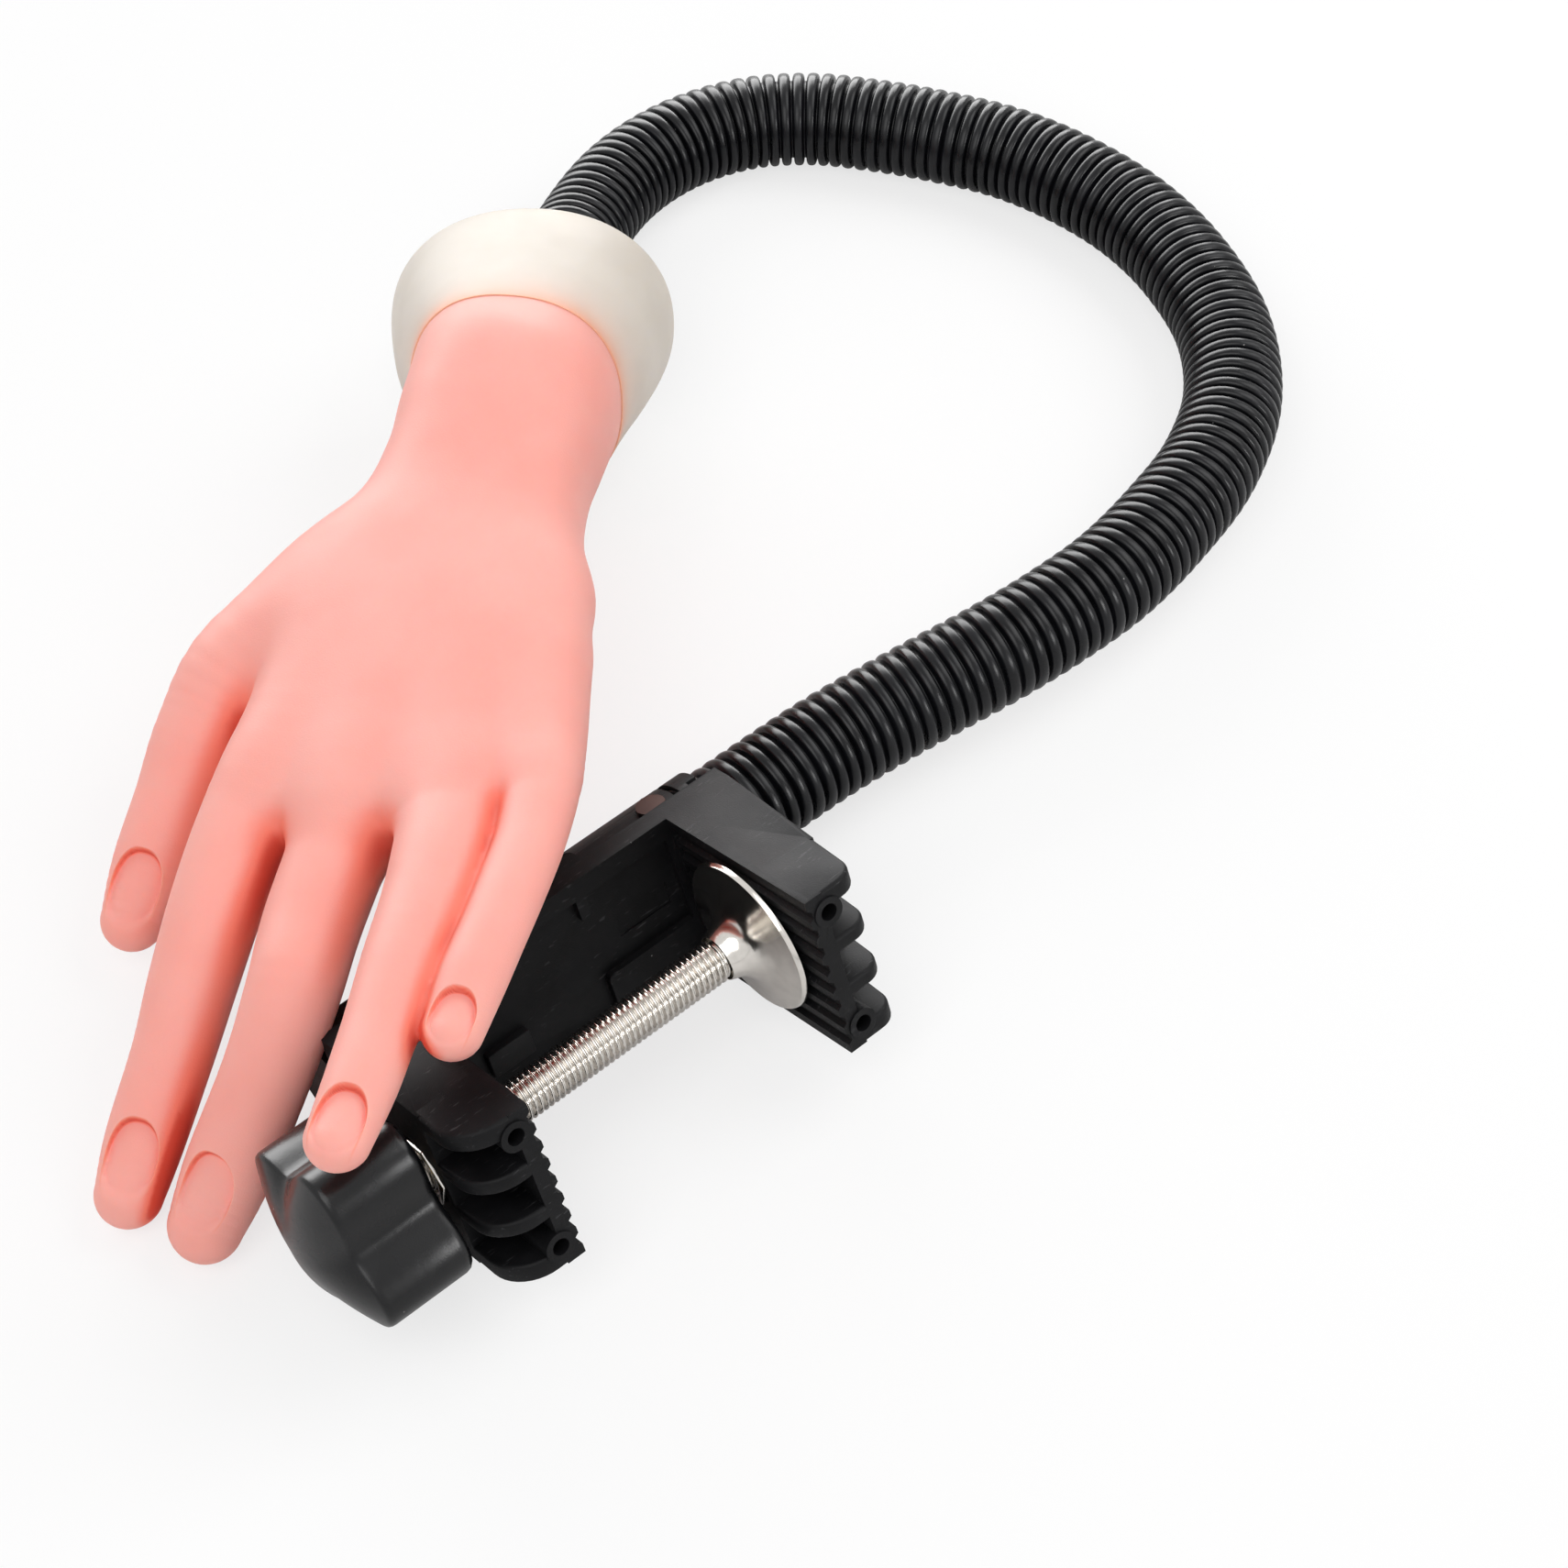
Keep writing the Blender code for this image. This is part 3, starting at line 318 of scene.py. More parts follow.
def turned(name, profile, sides, at):
    """A closed profile of (radius, place along X) turned round the X axis."""
    angles = np.arange(sides) * 2 * math.pi / sides
    rings = [
        [(x, radius * math.cos(a), radius * math.sin(a)) for a in angles] for radius, x in profile
    ]
    return skin(name, rings, wrap=True, at=at)


def rounded(corners, steps=5):
    """An outline from (x, y, radius) corners, each rounded by its radius."""
    points = []
    for i, (x, y, radius) in enumerate(corners):
        here = Vector((x, y))
        if not radius:
            points.append((x, y))
            continue
        before, after = Vector(corners[i - 1][:2]) - here, Vector(corners[(i + 1) % len(corners)][:2]) - here
        half = before.angle(after) / 2
        before, after = before.normalized(), after.normalized()
        middle = here + (before + after).normalized() * radius / math.sin(half)
        first = here + before * radius / math.tan(half) - middle
        last = here + after * radius / math.tan(half) - middle
        bend = first.angle(last)
        for step in range(steps + 1):
            turn = bend * step / steps
            way = first.normalized() * math.sin(bend - turn) + last.normalized() * math.sin(turn)
            points.append(tuple(middle + way.normalized() * radius))
    return points


def workpiece(shape):
    """An object only for cutting and joining."""
    bmesh.ops.recalc_face_normals(shape, faces=shape.faces)
    mesh = bpy.data.meshes.new("workpiece")
    shape.to_mesh(mesh)
    shape.free()
    return linked("workpiece", mesh)


def block(low, high):
    low, high = Vector(low), Vector(high)
    shape = bmesh.new()
    stretch = Matrix.Diagonal((*(high - low), 1))
    bmesh.ops.create_cube(shape, size=1, matrix=Matrix.Translation((low + high) / 2) @ stretch)
    return workpiece(shape)


def bar(start, end, radius, sides=48, far_radius=None):
    start, end = Vector(start), Vector(end)
    turn = (end - start).to_track_quat("Z", "Y").to_matrix().to_4x4()
    shape = bmesh.new()
    bmesh.ops.create_cone(
        shape, cap_ends=True, segments=sides, radius1=radius,
        radius2=radius if far_radius is None else far_radius, depth=(end - start).length,
        matrix=Matrix.Translation((start + end) / 2) @ turn,
    )
    return workpiece(shape)


def slab(outline, low, high, axes=(0, 1, 2)):
    """An outline across the first two axes, as thick as from low to high along the third."""
    shape = bmesh.new()
    verts = []
    for a, b in outline:
        place = [0, 0, 0]
        place[axes[0]], place[axes[1]], place[axes[2]] = a, b, low
        verts.append(shape.verts.new(place))
    face = shape.faces.new(verts)
    grown = bmesh.ops.extrude_face_region(shape, geom=[face])
    move = [0, 0, 0]
    move[axes[2]] = high - low
    moved = [v for v in grown["geom"] if isinstance(v, bmesh.types.BMVert)]
    bmesh.ops.translate(shape, verts=moved, vec=move)
    return workpiece(shape)


def softened(target, width, segments=2):
    bevel = target.modifiers.new("edges", "BEVEL")
    bevel.width = width
    bevel.segments = segments
    bevel.limit_method = "ANGLE"
    bevel.angle_limit = math.radians(32)
    bevel.use_clamp_overlap = True
    return target


def settled(target):
    """The workpiece's mesh with its modifiers applied. The workpiece is removed."""
    mesh = bpy.data.meshes.new_from_object(target.evaluated_get(bpy.context.evaluated_depsgraph_get()))
    bpy.data.objects.remove(target)
    return mesh


def worked(target, joined, cut):
    """The target with the others joined to it and then cut from it."""
    bpy.context.view_layer.update()
    for operation, others in (("UNION", joined), ("DIFFERENCE", cut)):
        for other in others:
            step = target.modifiers.new(operation, "BOOLEAN")
            step.operation = operation
            step.object = other
            step.solver = "EXACT"
    bpy.context.view_layer.update()
    mesh = bpy.data.meshes.new_from_object(target.evaluated_get(bpy.context.evaluated_depsgraph_get()))
    for other in [*joined, *cut, target]:
        bpy.data.objects.remove(other)
    return linked("workpiece", mesh)


# ---------------------------------------------------------------- clamp
FINS = ((-0.018, -0.014), (-0.0068, -0.0036), (0.0036, 0.0068), (0.014, 0.018))
POCKET_BACK = 0.0135 - JAW_DEPTH
OVERRUN = 0.002
# The round posts at the corners of each jaw's tip, and the blind holes in them.
POST_X = 0.00405
POST_Z = 0.0134
POST_RADIUS = 0.0030
POST_PROUD = 0.0003
HOLE_RADIUS = 0.0017
HOLE_DEPTH = 0.009
# The grooves of each grip, from its low end to its high end.
GROOVES = 8
GROOVE_PITCH = 0.0042
GROOVE_DEPTH = 0.0009
GROOVE_END = 0.0012
SCREW_HOLE_RADIUS = 0.0047


def fin(outline, low, high):
    return softened(slab(outline, low, high), 0.0007, 3)


def make_clamp():
    """The moulded clamp: jaws with fins and grooved grips, the spine's channel and the arm's socket."""
    taper = (MOUTH_X - 0.0118) / JAW_DEPTH
    fixed_root = [(0.0002, 0.004, 0), (MOUTH_X, 0.004, 0), (MOUTH_X, 0, 0),
                  (MOUTH_X + taper * POCKET_BACK, POCKET_BACK, 0), (0.0002, POCKET_BACK, 0)]
    screw_root = [(-JAW_GAP - 0.0002, 0.004, 0), (SCREW_JAW_OUTER, 0.004, 0),
                  (SCREW_JAW_OUTER, POCKET_BACK, 0), (-JAW_GAP - 0.0002, POCKET_BACK, 0)]
    fixed_fin = [(0.0006, POCKET_BACK + 0.002, 0), (MOUTH_X + taper * POCKET_BACK, POCKET_BACK + 0.002, 0),
                 (0.0118, -JAW_DEPTH, 0.0042), (0.0006, -JAW_DEPTH, 0)]
    screw_fin = [(-JAW_GAP - 0.0006, POCKET_BACK + 0.002, 0), (SCREW_JAW_OUTER, POCKET_BACK + 0.002, 0),
                 (SCREW_JAW_OUTER, -JAW_DEPTH, 0.0085), (-JAW_GAP - 0.0006, -JAW_DEPTH, 0)]
    spine = block((SCREW_JAW_OUTER, 0, -HALF_WIDTH), (MOUTH_X, 0.0046, HALF_WIDTH))
    shelf = rounded([(-0.074, 0.0072, 0), (-0.0135, 0.0072, 0),
                     (-0.0135, 0.0165, 0.002), (-0.074, 0.0165, 0)])
    joined = [
        slab(rounded(fixed_root), -HALF_WIDTH, HALF_WIDTH),
        slab(rounded(screw_root), -HALF_WIDTH, HALF_WIDTH),
        block((0, -JAW_DEPTH, -HALF_WIDTH), (0.0038, 0.002, HALF_WIDTH)),
        block((-JAW_GAP - 0.0038, -JAW_DEPTH, -HALF_WIDTH), (-JAW_GAP, 0.002, HALF_WIDTH)),
        bar((SCREW_JAW_OUTER, SOCKET_Y, 0), (MOUTH_X, SOCKET_Y, 0), SOCKET_RADIUS, 96),
        slab(shelf, 0.0080, 0.01205),
    ]
    for low, high in FINS:
        joined += [fin(rounded(fixed_fin, 8), low, high), fin(rounded(screw_fin, 10), low, high)]
    cut = []
    for face, side in ((0, 1), (-JAW_GAP, -1)):
        for flank in (-1, 1):
            x, z = face + side * POST_X, flank * POST_Z
            joined.append(bar((x, -JAW_DEPTH - POST_PROUD, z), (x, POCKET_BACK + 0.001, z), POST_RADIUS, 40))
            cut.append(bar((x, -JAW_DEPTH - OVERRUN, z), (x, HOLE_DEPTH - JAW_DEPTH, z), HOLE_RADIUS, 32))
        outside, lip, floor = face - side * 0.001, face + side * 0.0001, face + side * GROOVE_DEPTH
        for number in range(GROOVES):
            z = (number - (GROOVES - 1) / 2) * GROOVE_PITCH
            outline = [(outside, z - 0.0019), (lip, z - 0.0013), (floor, z - 0.0007),
                       (floor, z + 0.0007), (lip, z + 0.0013), (outside, z + 0.0019)]
            cut.append(slab(outline, -JAW_DEPTH - OVERRUN, -GROOVE_END, (0, 2, 1)))
    channel = rounded([(-0.0605, -0.0138, 0.0012), (-0.0218, -0.0138, 0.001), (-0.0218, -0.0056, 0.001),
                       (-0.0012, -0.0056, 0), (-0.0012, 0.0138, 0.001), (-0.0204, 0.0138, 0),
                       (-0.0204, 0.0092, 0), (-0.0228, 0.0092, 0), (-0.0228, 0.0138, 0),
                       (-0.0605, 0.0138, 0.0012)])
    slot = rounded([(-0.0158, -0.0005, 0), (-0.0037, -0.0005, 0),
                    (-0.0037, 0.0043, 0), (-0.0158, 0.0043, 0)])
    screw_start = (SCREW_JAW_OUTER - OVERRUN, SCREW_Y, 0)
    cut += [
        slab(channel, -OVERRUN, 0.0017, (0, 2, 1)),
        slab(slot, 0.0010, 0.0020, (0, 2, 1)),
        bar((SCREW_JAW_OUTER + 0.004, SOCKET_Y, 0), (MOUTH_X + OVERRUN, SOCKET_Y, 0), SOCKET_BORE, 96),
        bar(screw_start, (-JAW_GAP + OVERRUN, SCREW_Y, 0), SCREW_HOLE_RADIUS, 48),
        bar(screw_start, (SCREW_JAW_OUTER + 0.0054, SCREW_Y, 0), 0.0078, 6),
        bar((0.0041, SOCKET_Y, 0.0112), (0.0041, SOCKET_Y, 0.014), 0.0033, 40),
        block((0.0092, 0.0062, 0.0085), (0.0106, 0.0215, 0.014)),
        block((0.0128, 0.0050, 0.0085), (0.0165, 0.0135, 0.0145)),
    ]
    lumps = [softened(block((-0.0500, -0.0001, -0.0100), (-0.0404, 0.0022, -0.0046)), 0.0004)]
    body = worked(worked(spine, joined, cut), lumps, [])
    mesh = settled(softened(body, 0.00030, 2))
    mesh.transform(CLAMP_AT)
    return dressed("clamp_moulding", mesh, CLAMP_BLACK, "clamp", ["clamp_frame"])


SCREW_AT = CLAMP_AT @ Matrix.Translation((0, SCREW_Y, 0))


def make_screw():
    """The clamping screw with its rolled thread, from behind the pad into the knob."""
    near, far, pitch, sides = -0.0059, -0.0925, 0.00125, 36
    crest, root, lead, flat, flank = 0.00430, 0.00335, 0.0020, 0.14, 0.66
    count = int((near - far) / pitch * 8)
    rings = []
    for row in range(count + 1):
        x = near + (far - near) * row / count
        run = min(1.0, max(0.0, (near - lead - x) / (1.5 * pitch)))
        ring = []
        for side in range(sides):
            angle = 2 * math.pi * side / sides
            share = (x / pitch + angle / (2 * math.pi)) % 1
            tooth = min(1.0, max(0.0, (abs(share - 0.5) * 2 - flat) / flank))
            tooth = tooth * tooth * (3 - 2 * tooth)
            radius = crest - (crest - root) * (tooth * run + (1 - run))
            ring.append((x, radius * math.cos(angle), radius * math.sin(angle)))
        rings.append(ring)
    return dressed(
        "threaded_screw", skin("threaded_screw", rings, at=SCREW_AT), NICKEL, "screw",
        ["clamp_screw"], sharp=60,
    )


def make_nut():
    start, length, across = SCREW_JAW_OUTER - 0.0004, 0.0055, 0.0130
    corner = across / math.sqrt(3)
    turns = [math.radians(60 * i) for i in range(6)]
    outline = [(corner * math.cos(turn), corner * math.sin(turn)) for turn in turns]
    body = slab(outline, start, start + length, (1, 2, 0))
    bore = bar((start - OVERRUN, 0, 0), (start + length + OVERRUN, 0, 0), 0.0045, 40)
    mouth = bar((start - 0.0004, 0, 0), (start + 0.0008, 0, 0), 0.0055, 40, 0.0043)
    nut = worked(body, [], [bore, mouth])
    mesh = settled(softened(nut, 0.0004, 2))
    mesh.transform(SCREW_AT)
    return dressed("hex_nut", mesh, NICKEL, "clamp", ["screw_nut"])


def curve_through(points, parts=6):
    """A smooth run of points through the given ones, as an array."""
    points = np.asarray(points, float)
    ends = np.vstack([2 * points[0] - points[1], points, 2 * points[-1] - points[-2]])
    rows = []
    for a, b, c, d in zip(ends, ends[1:], ends[2:], ends[3:]):
        for t in np.arange(parts) / parts:
            bow = (2 * a - 5 * b + 4 * c - d) * t ** 2 + (3 * b - a - 3 * c + d) * t ** 3
            rows.append((2 * b + (c - a) * t + bow) / 2)
    return np.array(rows + [points[-1]])


def make_pad():
    """The pressed pad: a flat lip, a dished cone and a collar round the screw's end."""
    front = [(0.0160, -0.0009), (0.0159, -0.0014), (0.0156, -0.0018)]
    dish = curve_through([(0.0156, -0.0018), (0.0140, -0.0021), (0.0120, -0.0026), (0.0095, -0.0033),
                          (0.0074, -0.0044), (0.0058, -0.0060), (0.0050, -0.0078)], 4)
    collar = [(0.00475, -0.0086), (0.00465, -0.0088), (0.00450, -0.0088), (0.00445, -0.0086),
              (0.00445, -0.0057), (0.0024, -0.0056), (0.0024, -0.0044)]
    back = [(0.0056, -0.0044), (0.0070, -0.0032), (0.0092, -0.0024), (0.0120, -0.0015), (0.0146, -0.0009)]
    profile = front + [tuple(point) for point in dish] + collar + back + [(0.0155, -0.0008)]
    return dressed(
        "dished_pad", turned("dished_pad", profile, 128, SCREW_AT), NICKEL, "pad",
        ["pressure_pad"], sharp=50,
    )


KNOB_GAP = 0.0033
KNOB_LENGTH = 0.0182
KNOB_LOBES = 4
KNOB_CREST = math.radians(208)
KNOB_MEAN_RADIUS = 0.0167
KNOB_LOBE_HEIGHT = 0.0032
KNOB_DOME_HEIGHT = 0.0048
# The front edge: how far it is rounded towards the dome, and the share of the radius that is left there.
KNOB_EDGE_DEPTH = 0.0003
KNOB_EDGE_SHARE = 0.964
KNOB_DOME_SHARES = (0.985, 0.96, 0.92, 0.86, 0.78, 0.69, 0.59, 0.48, 0.37, 0.26, 0.15, 0.05)


def make_knob():
    """The star knob: four soft lobes from end to end, a crisp front edge and a shallow dome."""
    near, sides = SCREW_JAW_OUTER - KNOB_GAP, 240
    far = near - KNOB_LENGTH
    rows = [(near - 0.0002, 0.36, 0), (near, 0.80, 0.3), (near, 0.900, 1), (near - 0.0003, 0.955, 1),
            (near - 0.0010, 0.988, 1), (near - 0.0020, 1.0, 1), (near - 0.0080, 1.0, 1),
            (far + 0.0012, 1.0, 1), (far + 0.0005, 0.996, 1), (far, 0.984, 1),
            (far - KNOB_EDGE_DEPTH, KNOB_EDGE_SHARE, 1)]
    dome = [(far - KNOB_EDGE_DEPTH - KNOB_DOME_HEIGHT * (1 - share * share), KNOB_EDGE_SHARE * share, share)
            for share in KNOB_DOME_SHARES]
    rings = []
    for x, share, lobed in rows + dome:
        ring = []
        for side in range(sides):
            angle = 2 * math.pi * side / sides
            wave = math.cos(KNOB_LOBES * (angle - KNOB_CREST))
            wave = wave + 0.08 * (1 - wave * wave)
            radius = (KNOB_MEAN_RADIUS + KNOB_LOBE_HEIGHT * lobed * wave) * share
            ring.append((x, radius * math.cos(angle), radius * math.sin(angle)))
        rings.append(ring)
    return dressed(
        "star_knob", skin("star_knob", rings, at=SCREW_AT), KNOB_BLACK, "screw",
        ["clamp_knob"], sharp=60,
    )


# ---------------------------------------------------------------- arm
ROUTE = (
    (0.000, 0.000, 0.000, 0.000), (0.126, -0.001, 0.000, 0.000), (0.200, -0.008, 0.003, 0.000),
    (0.272, -0.020, 0.009, 0.000), (0.345, -0.033, 0.015, 0.000), (0.424, -0.039, 0.016, 0.000),
    (0.506, -0.037, 0.015, 0.000), (0.598, -0.018, 0.010, 0.000), (0.692, 0.013, 0.003, 0.000),
    (0.785, 0.070, -0.004, 0.000), (0.859, 0.156, -0.010, 0.000), (0.901, 0.256, -0.013, 0.000),
    (0.918, 0.352, -0.015, 0.000), (0.911, 0.442, -0.014, 0.000), (0.875, 0.496, -0.018, 0.050),
    (0.807, 0.507, -0.023, 0.150), (0.703, 0.447, -0.033, 0.350), (0.578, 0.348, -0.045, 0.600),
    (0.437, 0.235, -0.057, 0.850), (0.306, 0.161, -0.063, 1.000), (0.210, 0.148, -0.058, 1.000),
    (0.102, 0.091, -0.043, 1.000), (0.000, 0.000, 0.000, 1.000),
)
ARM_SPAN = 0.2000
NECK_GAP = 0.0210
BENDS = (0.0835, 0.3110, 0.5230, 0.8030)
# One rib of the sleeve: where each ring is along it, and how far out.
RIB = ((0.00, 0.0088), (0.085, 0.0089), (0.115, 0.0098), (0.17, 0.01025), (0.26, 0.01050), (0.38, 0.01061),
       (0.50, 0.01064), (0.62, 0.01061), (0.74, 0.01050), (0.83, 0.01025), (0.885, 0.0098), (0.915, 0.0089))
BEND_REACH = 0.0150
SLEEVE_BORE = 0.0067
SLEEVE_SIDES = 44


def hand_point(share):
    return Vector((HAND_LENGTH * share[0], HAND_LENGTH * share[1], HAND_RISE * share[2]))


def arm_line():
    """The arm's centreline in steps of half a rib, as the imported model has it."""
    mouth = CLAMP_AT @ Vector((MOUTH_X, SOCKET_Y, 0))
    neck = HAND_AT @ hand_point(PALM[0])
    before, last = (Vector(row[:3]) for row in ROUTE[-2:])
    reach = neck - NECK_GAP * (last - before).normalized() - mouth
    route = [mouth - Vector((ARM_SEAT, 0, 0))]
    route += [mouth + ARM_SPAN * Vector(row[:3]) + row[3] * reach for row in ROUTE]
    fine = curve_through(route, 12)
    run = np.concatenate([[0], np.cumsum(np.linalg.norm(np.diff(fine, axis=0), axis=1))])
    count = 2 * round(run[-1] / RIB_PITCH)
    even = np.linspace(0, run[-1], count + 1)
    return np.stack([np.interp(even, run, fine[:, axis]) for axis in range(3)], 1)


def along(line, at):
    """Places on the line at the given numbers of steps, and the way that it runs there."""
    padded = np.vstack([2 * line[0] - line[1], line, 2 * line[-1] - line[-2]])
    at = np.clip(np.asarray(at, float), 0, len(line) - 1)
    first = np.minimum(at.astype(int), len(line) - 2)
    t = (at - first)[:, None]
    a, b, c, d = (padded[first + step] for step in range(4))
    bow, twist = 2 * a - 5 * b + 4 * c - d, 3 * b - a - 3 * c + d
    place = (2 * b + (c - a) * t + bow * t ** 2 + twist * t ** 3) / 2
    way = ((c - a) + 2 * bow * t + 3 * twist * t ** 2) / 2
    return place, way / np.linalg.norm(way, axis=1)[:, None]


def tube_rings(line, rows, sides):
    """Round rings across the line, from (step, radius) rows, without twist from ring to ring."""
    places, ways = along(line, [step for step, _ in rows])
    side = np.cross(ways[0], (0, 0, 1))
    angles = np.arange(sides) * 2 * math.pi / sides
    rings = []
    for place, way, (_, radius) in zip(places, ways, rows):
        side = side - way * side.dot(way)
        side /= np.linalg.norm(side)
        up = np.cross(way, side)
        rings.append(place + radius * (np.outer(np.cos(angles), side) + np.outer(np.sin(angles), up)))
    return rings


def make_arm(line):
    """Four stretches of ribbed sleeve along the arm's line, one round each of the core's bends."""
    total = len(line) - 1
    bends = [2 * round(share * total / 2) for share in BENDS]
    halves = [0] + [2 * round((a + b) / 4) for a, b in zip(bends, bends[1:])] + [total]
    for number, (bend, first, last) in enumerate(zip(bends, halves, halves[1:]), 1):
        rows = [(rib + 2 * share, radius) for rib in range(first, last, 2) for share, radius in RIB]
        rows.append((last, RIB[0][1]))
        rows += [(step, SLEEVE_BORE) for step in range(last, first - 1, -2)]
        name = f"ribbed_sleeve_{number}"
        mesh = skin(name, tube_rings(line, rows, SLEEVE_SIDES), wrap=True)
        piece = dressed(name, mesh, ARM_BLACK, None, [f"arm_sleeve_{number}"], sharp=70)
        (middle,), (way,) = along(line, [bend])
        tuple(middle - BEND_REACH * way)
        tuple(middle + BEND_REACH * way)
        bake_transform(piece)


def make_ferrule(end, way):
    start = end + way * 0.0003
    turn = Matrix.Translation(start) @ Vector(way).to_track_quat("X", "Z").to_matrix().to_4x4()
    profile = [(0.0064, 0), (0.0122, 0), (0.0126, 0.0002), (0.0128, 0.0006),
               (0.0128, 0.0018), (0.0126, 0.0022), (0.0122, 0.0024), (0.0064, 0.0024)]
    return dressed(
        "arm_collar", turned("arm_collar", profile, 72, turn), FERRULE_GREY, "arm_end",
        ["arm_ferrule"],
    )


# ---------------------------------------------------------------- hand
# Slices across wrist and palm: forwards, aside, up, half width, half height and roll in degrees.
PALM = (
    (-0.335, -0.050, 0.186, 0.150, 0.143, 0), (-0.262, -0.031, 0.214, 0.140, 0.140, 0),
    (-0.184, -0.012, 0.244, 0.136, 0.136, 0), (-0.103, -0.004, 0.253, 0.134, 0.120, 2),
    (-0.030, 0.002, 0.253, 0.132, 0.107, 5), (0.050, 0.004, 0.248, 0.149, 0.098, 8),
    (0.140, -0.004, 0.246, 0.203, 0.095, 11), (0.230, 0.000, 0.246, 0.218, 0.092, 13),
    (0.320, 0.026, 0.249, 0.206, 0.085, 14), (0.400, 0.046, 0.252, 0.198, 0.074, 14),
    (0.455, 0.058, 0.259, 0.192, 0.062, 15), (0.495, 0.042, 0.260, 0.150, 0.048, 16),
    (0.532, 0.018, 0.254, 0.086, 0.036, 16),
)
# Each digit: forwards, aside, up and half width at places along it.
DIGITS = {
    "thumb": ((0.131, -0.112, 0.215, 0.070), (0.260, -0.208, 0.185, 0.073), (0.354, -0.239, 0.152, 0.062),
              (0.440, -0.249, 0.118, 0.053), (0.521, -0.255, 0.088, 0.049), (0.585, -0.259, 0.063, 0.039)),
    "index": ((0.303, -0.095, 0.225, 0.050), (0.430, -0.108, 0.222, 0.060), (0.523, -0.117, 0.205, 0.057),
              (0.615, -0.120, 0.178, 0.055), (0.700, -0.122, 0.142, 0.052), (0.776, -0.123, 0.106, 0.048),
              (0.867, -0.129, 0.062, 0.046), (0.926, -0.129, 0.038, 0.040)),
    "middle": ((0.300, 0.006, 0.245, 0.050), (0.427, 0.010, 0.246, 0.061), (0.533, 0.013, 0.236, 0.059),
               (0.643, 0.015, 0.225, 0.057), (0.730, 0.025, 0.222, 0.054), (0.808, 0.016, 0.173, 0.052),
               (0.887, -0.014, 0.085, 0.052), (0.945, -0.028, 0.043, 0.044)),
    "ring": ((0.303, 0.094, 0.265, 0.050), (0.420, 0.130, 0.278, 0.064), (0.533, 0.152, 0.298, 0.062),
             (0.638, 0.168, 0.314, 0.057), (0.735, 0.172, 0.328, 0.049), (0.827, 0.178, 0.340, 0.042),
             (0.901, 0.183, 0.346, 0.040), (0.972, 0.184, 0.348, 0.036)),
    "little": ((0.262, 0.168, 0.275, 0.049), (0.373, 0.203, 0.296, 0.053), (0.459, 0.235, 0.316, 0.045),
               (0.542, 0.251, 0.330, 0.040), (0.619, 0.255, 0.340, 0.039), (0.690, 0.256, 0.347, 0.038),
               (0.754, 0.255, 0.350, 0.038), (0.818, 0.256, 0.350, 0.034)),
}
FLATNESS = 0.86
# Each nail: half width, half length, and where it lies from the digit's last place but one to its last.
NAILS = {"thumb": (0.0325, 0.053, 0.62), "index": (0.0318, 0.051, 0.52), "middle": (0.0325, 0.050, 0.50),
         "ring": (0.0285, 0.045, 0.95), "little": (0.0255, 0.037, 1.0)}
NAIL_DEPTH = 0.0016
# How square the palm's slices and the nails are: 2 is an ellipse.
PALM_POWER = 2.3
NAIL_POWER = 2.4
# How far the digits run into one another, the palm into its end, and the digits into the palm.
DIGIT_BLEND = 0.0018
END_BLEND = 0.006
PALM_BLEND = 0.0070
NAIL_REACH = 0.006
FULL_STEP = 0.0009
COARSE_STEPS = 4


def sized(rows):
    """Rows of shares in metres."""
    scale = np.array([HAND_LENGTH, HAND_LENGTH, HAND_RISE] + [HAND_LENGTH] * (len(rows[0]) - 3))
    return np.array(rows) * scale[:len(rows[0])]


PALM_ROWS = curve_through(np.column_stack([sized([row[:5] for row in PALM]), [row[5] for row in PALM]]), 6)
DIGIT_ROWS = {name: curve_through(sized(rows), 5) for name, rows in DIGITS.items()}
PALM_END_X = PALM_ROWS[-1, 0]
PALM_START_X = PALM_ROWS[0, 0]
GRID_LOW = np.array([PALM_START_X - 0.004, -0.060, -0.004])
GRID_HIGH = np.array([0.1750, 0.062, 0.076])


def soft_min(a, b, reach):
    near = np.maximum(reach - np.abs(a - b), 0) / reach
    return np.minimum(a, b) - near * near * reach / 4


def palm_distance(points):
    x, y, z = points.T
    across, up, half_width, half_height, roll = (
        np.interp(x, PALM_ROWS[:, 0], PALM_ROWS[:, column]) for column in range(1, 6)
    )
    roll = np.radians(roll)
    u = (y - across) * np.cos(roll) + (z - up) * np.sin(roll)
    v = (z - up) * np.cos(roll) - (y - across) * np.sin(roll)
    power = PALM_POWER
    ru, rv = np.abs(u / half_width) + 1e-6, np.abs(v / half_height) + 1e-6
    rho = (ru ** power + rv ** power) ** (1 / power)
    steep = rho ** (1 - power) * np.hypot(ru ** (power - 1) / half_width, rv ** (power - 1) / half_height)
    side = np.maximum((rho - 1) / steep, -half_height)
    ahead = -soft_min(-side, PALM_END_X - x, END_BLEND)
    return np.maximum(ahead, PALM_START_X - x)


def digit_distance(points, rows):
    best = np.full(len(points), 1.0)
    for a, b in zip(rows, rows[1:]):
        way = b[:3] - a[:3]
        length = np.linalg.norm(way)
        forward = way / length
        side = np.cross(forward, (0, 0, 1))
        side /= np.linalg.norm(side)
        up = np.cross(side, forward)
        away = points - a[:3]
        t = np.clip(away @ forward / length, 0, 1)
        away = away - t[:, None] * way
        lift = away @ up
        flat = np.sum(away * away, 1) + lift * lift * (1 / FLATNESS ** 2 - 1)
        best = np.minimum(best, np.sqrt(flat) - (a[3] + (b[3] - a[3]) * t))
    return best


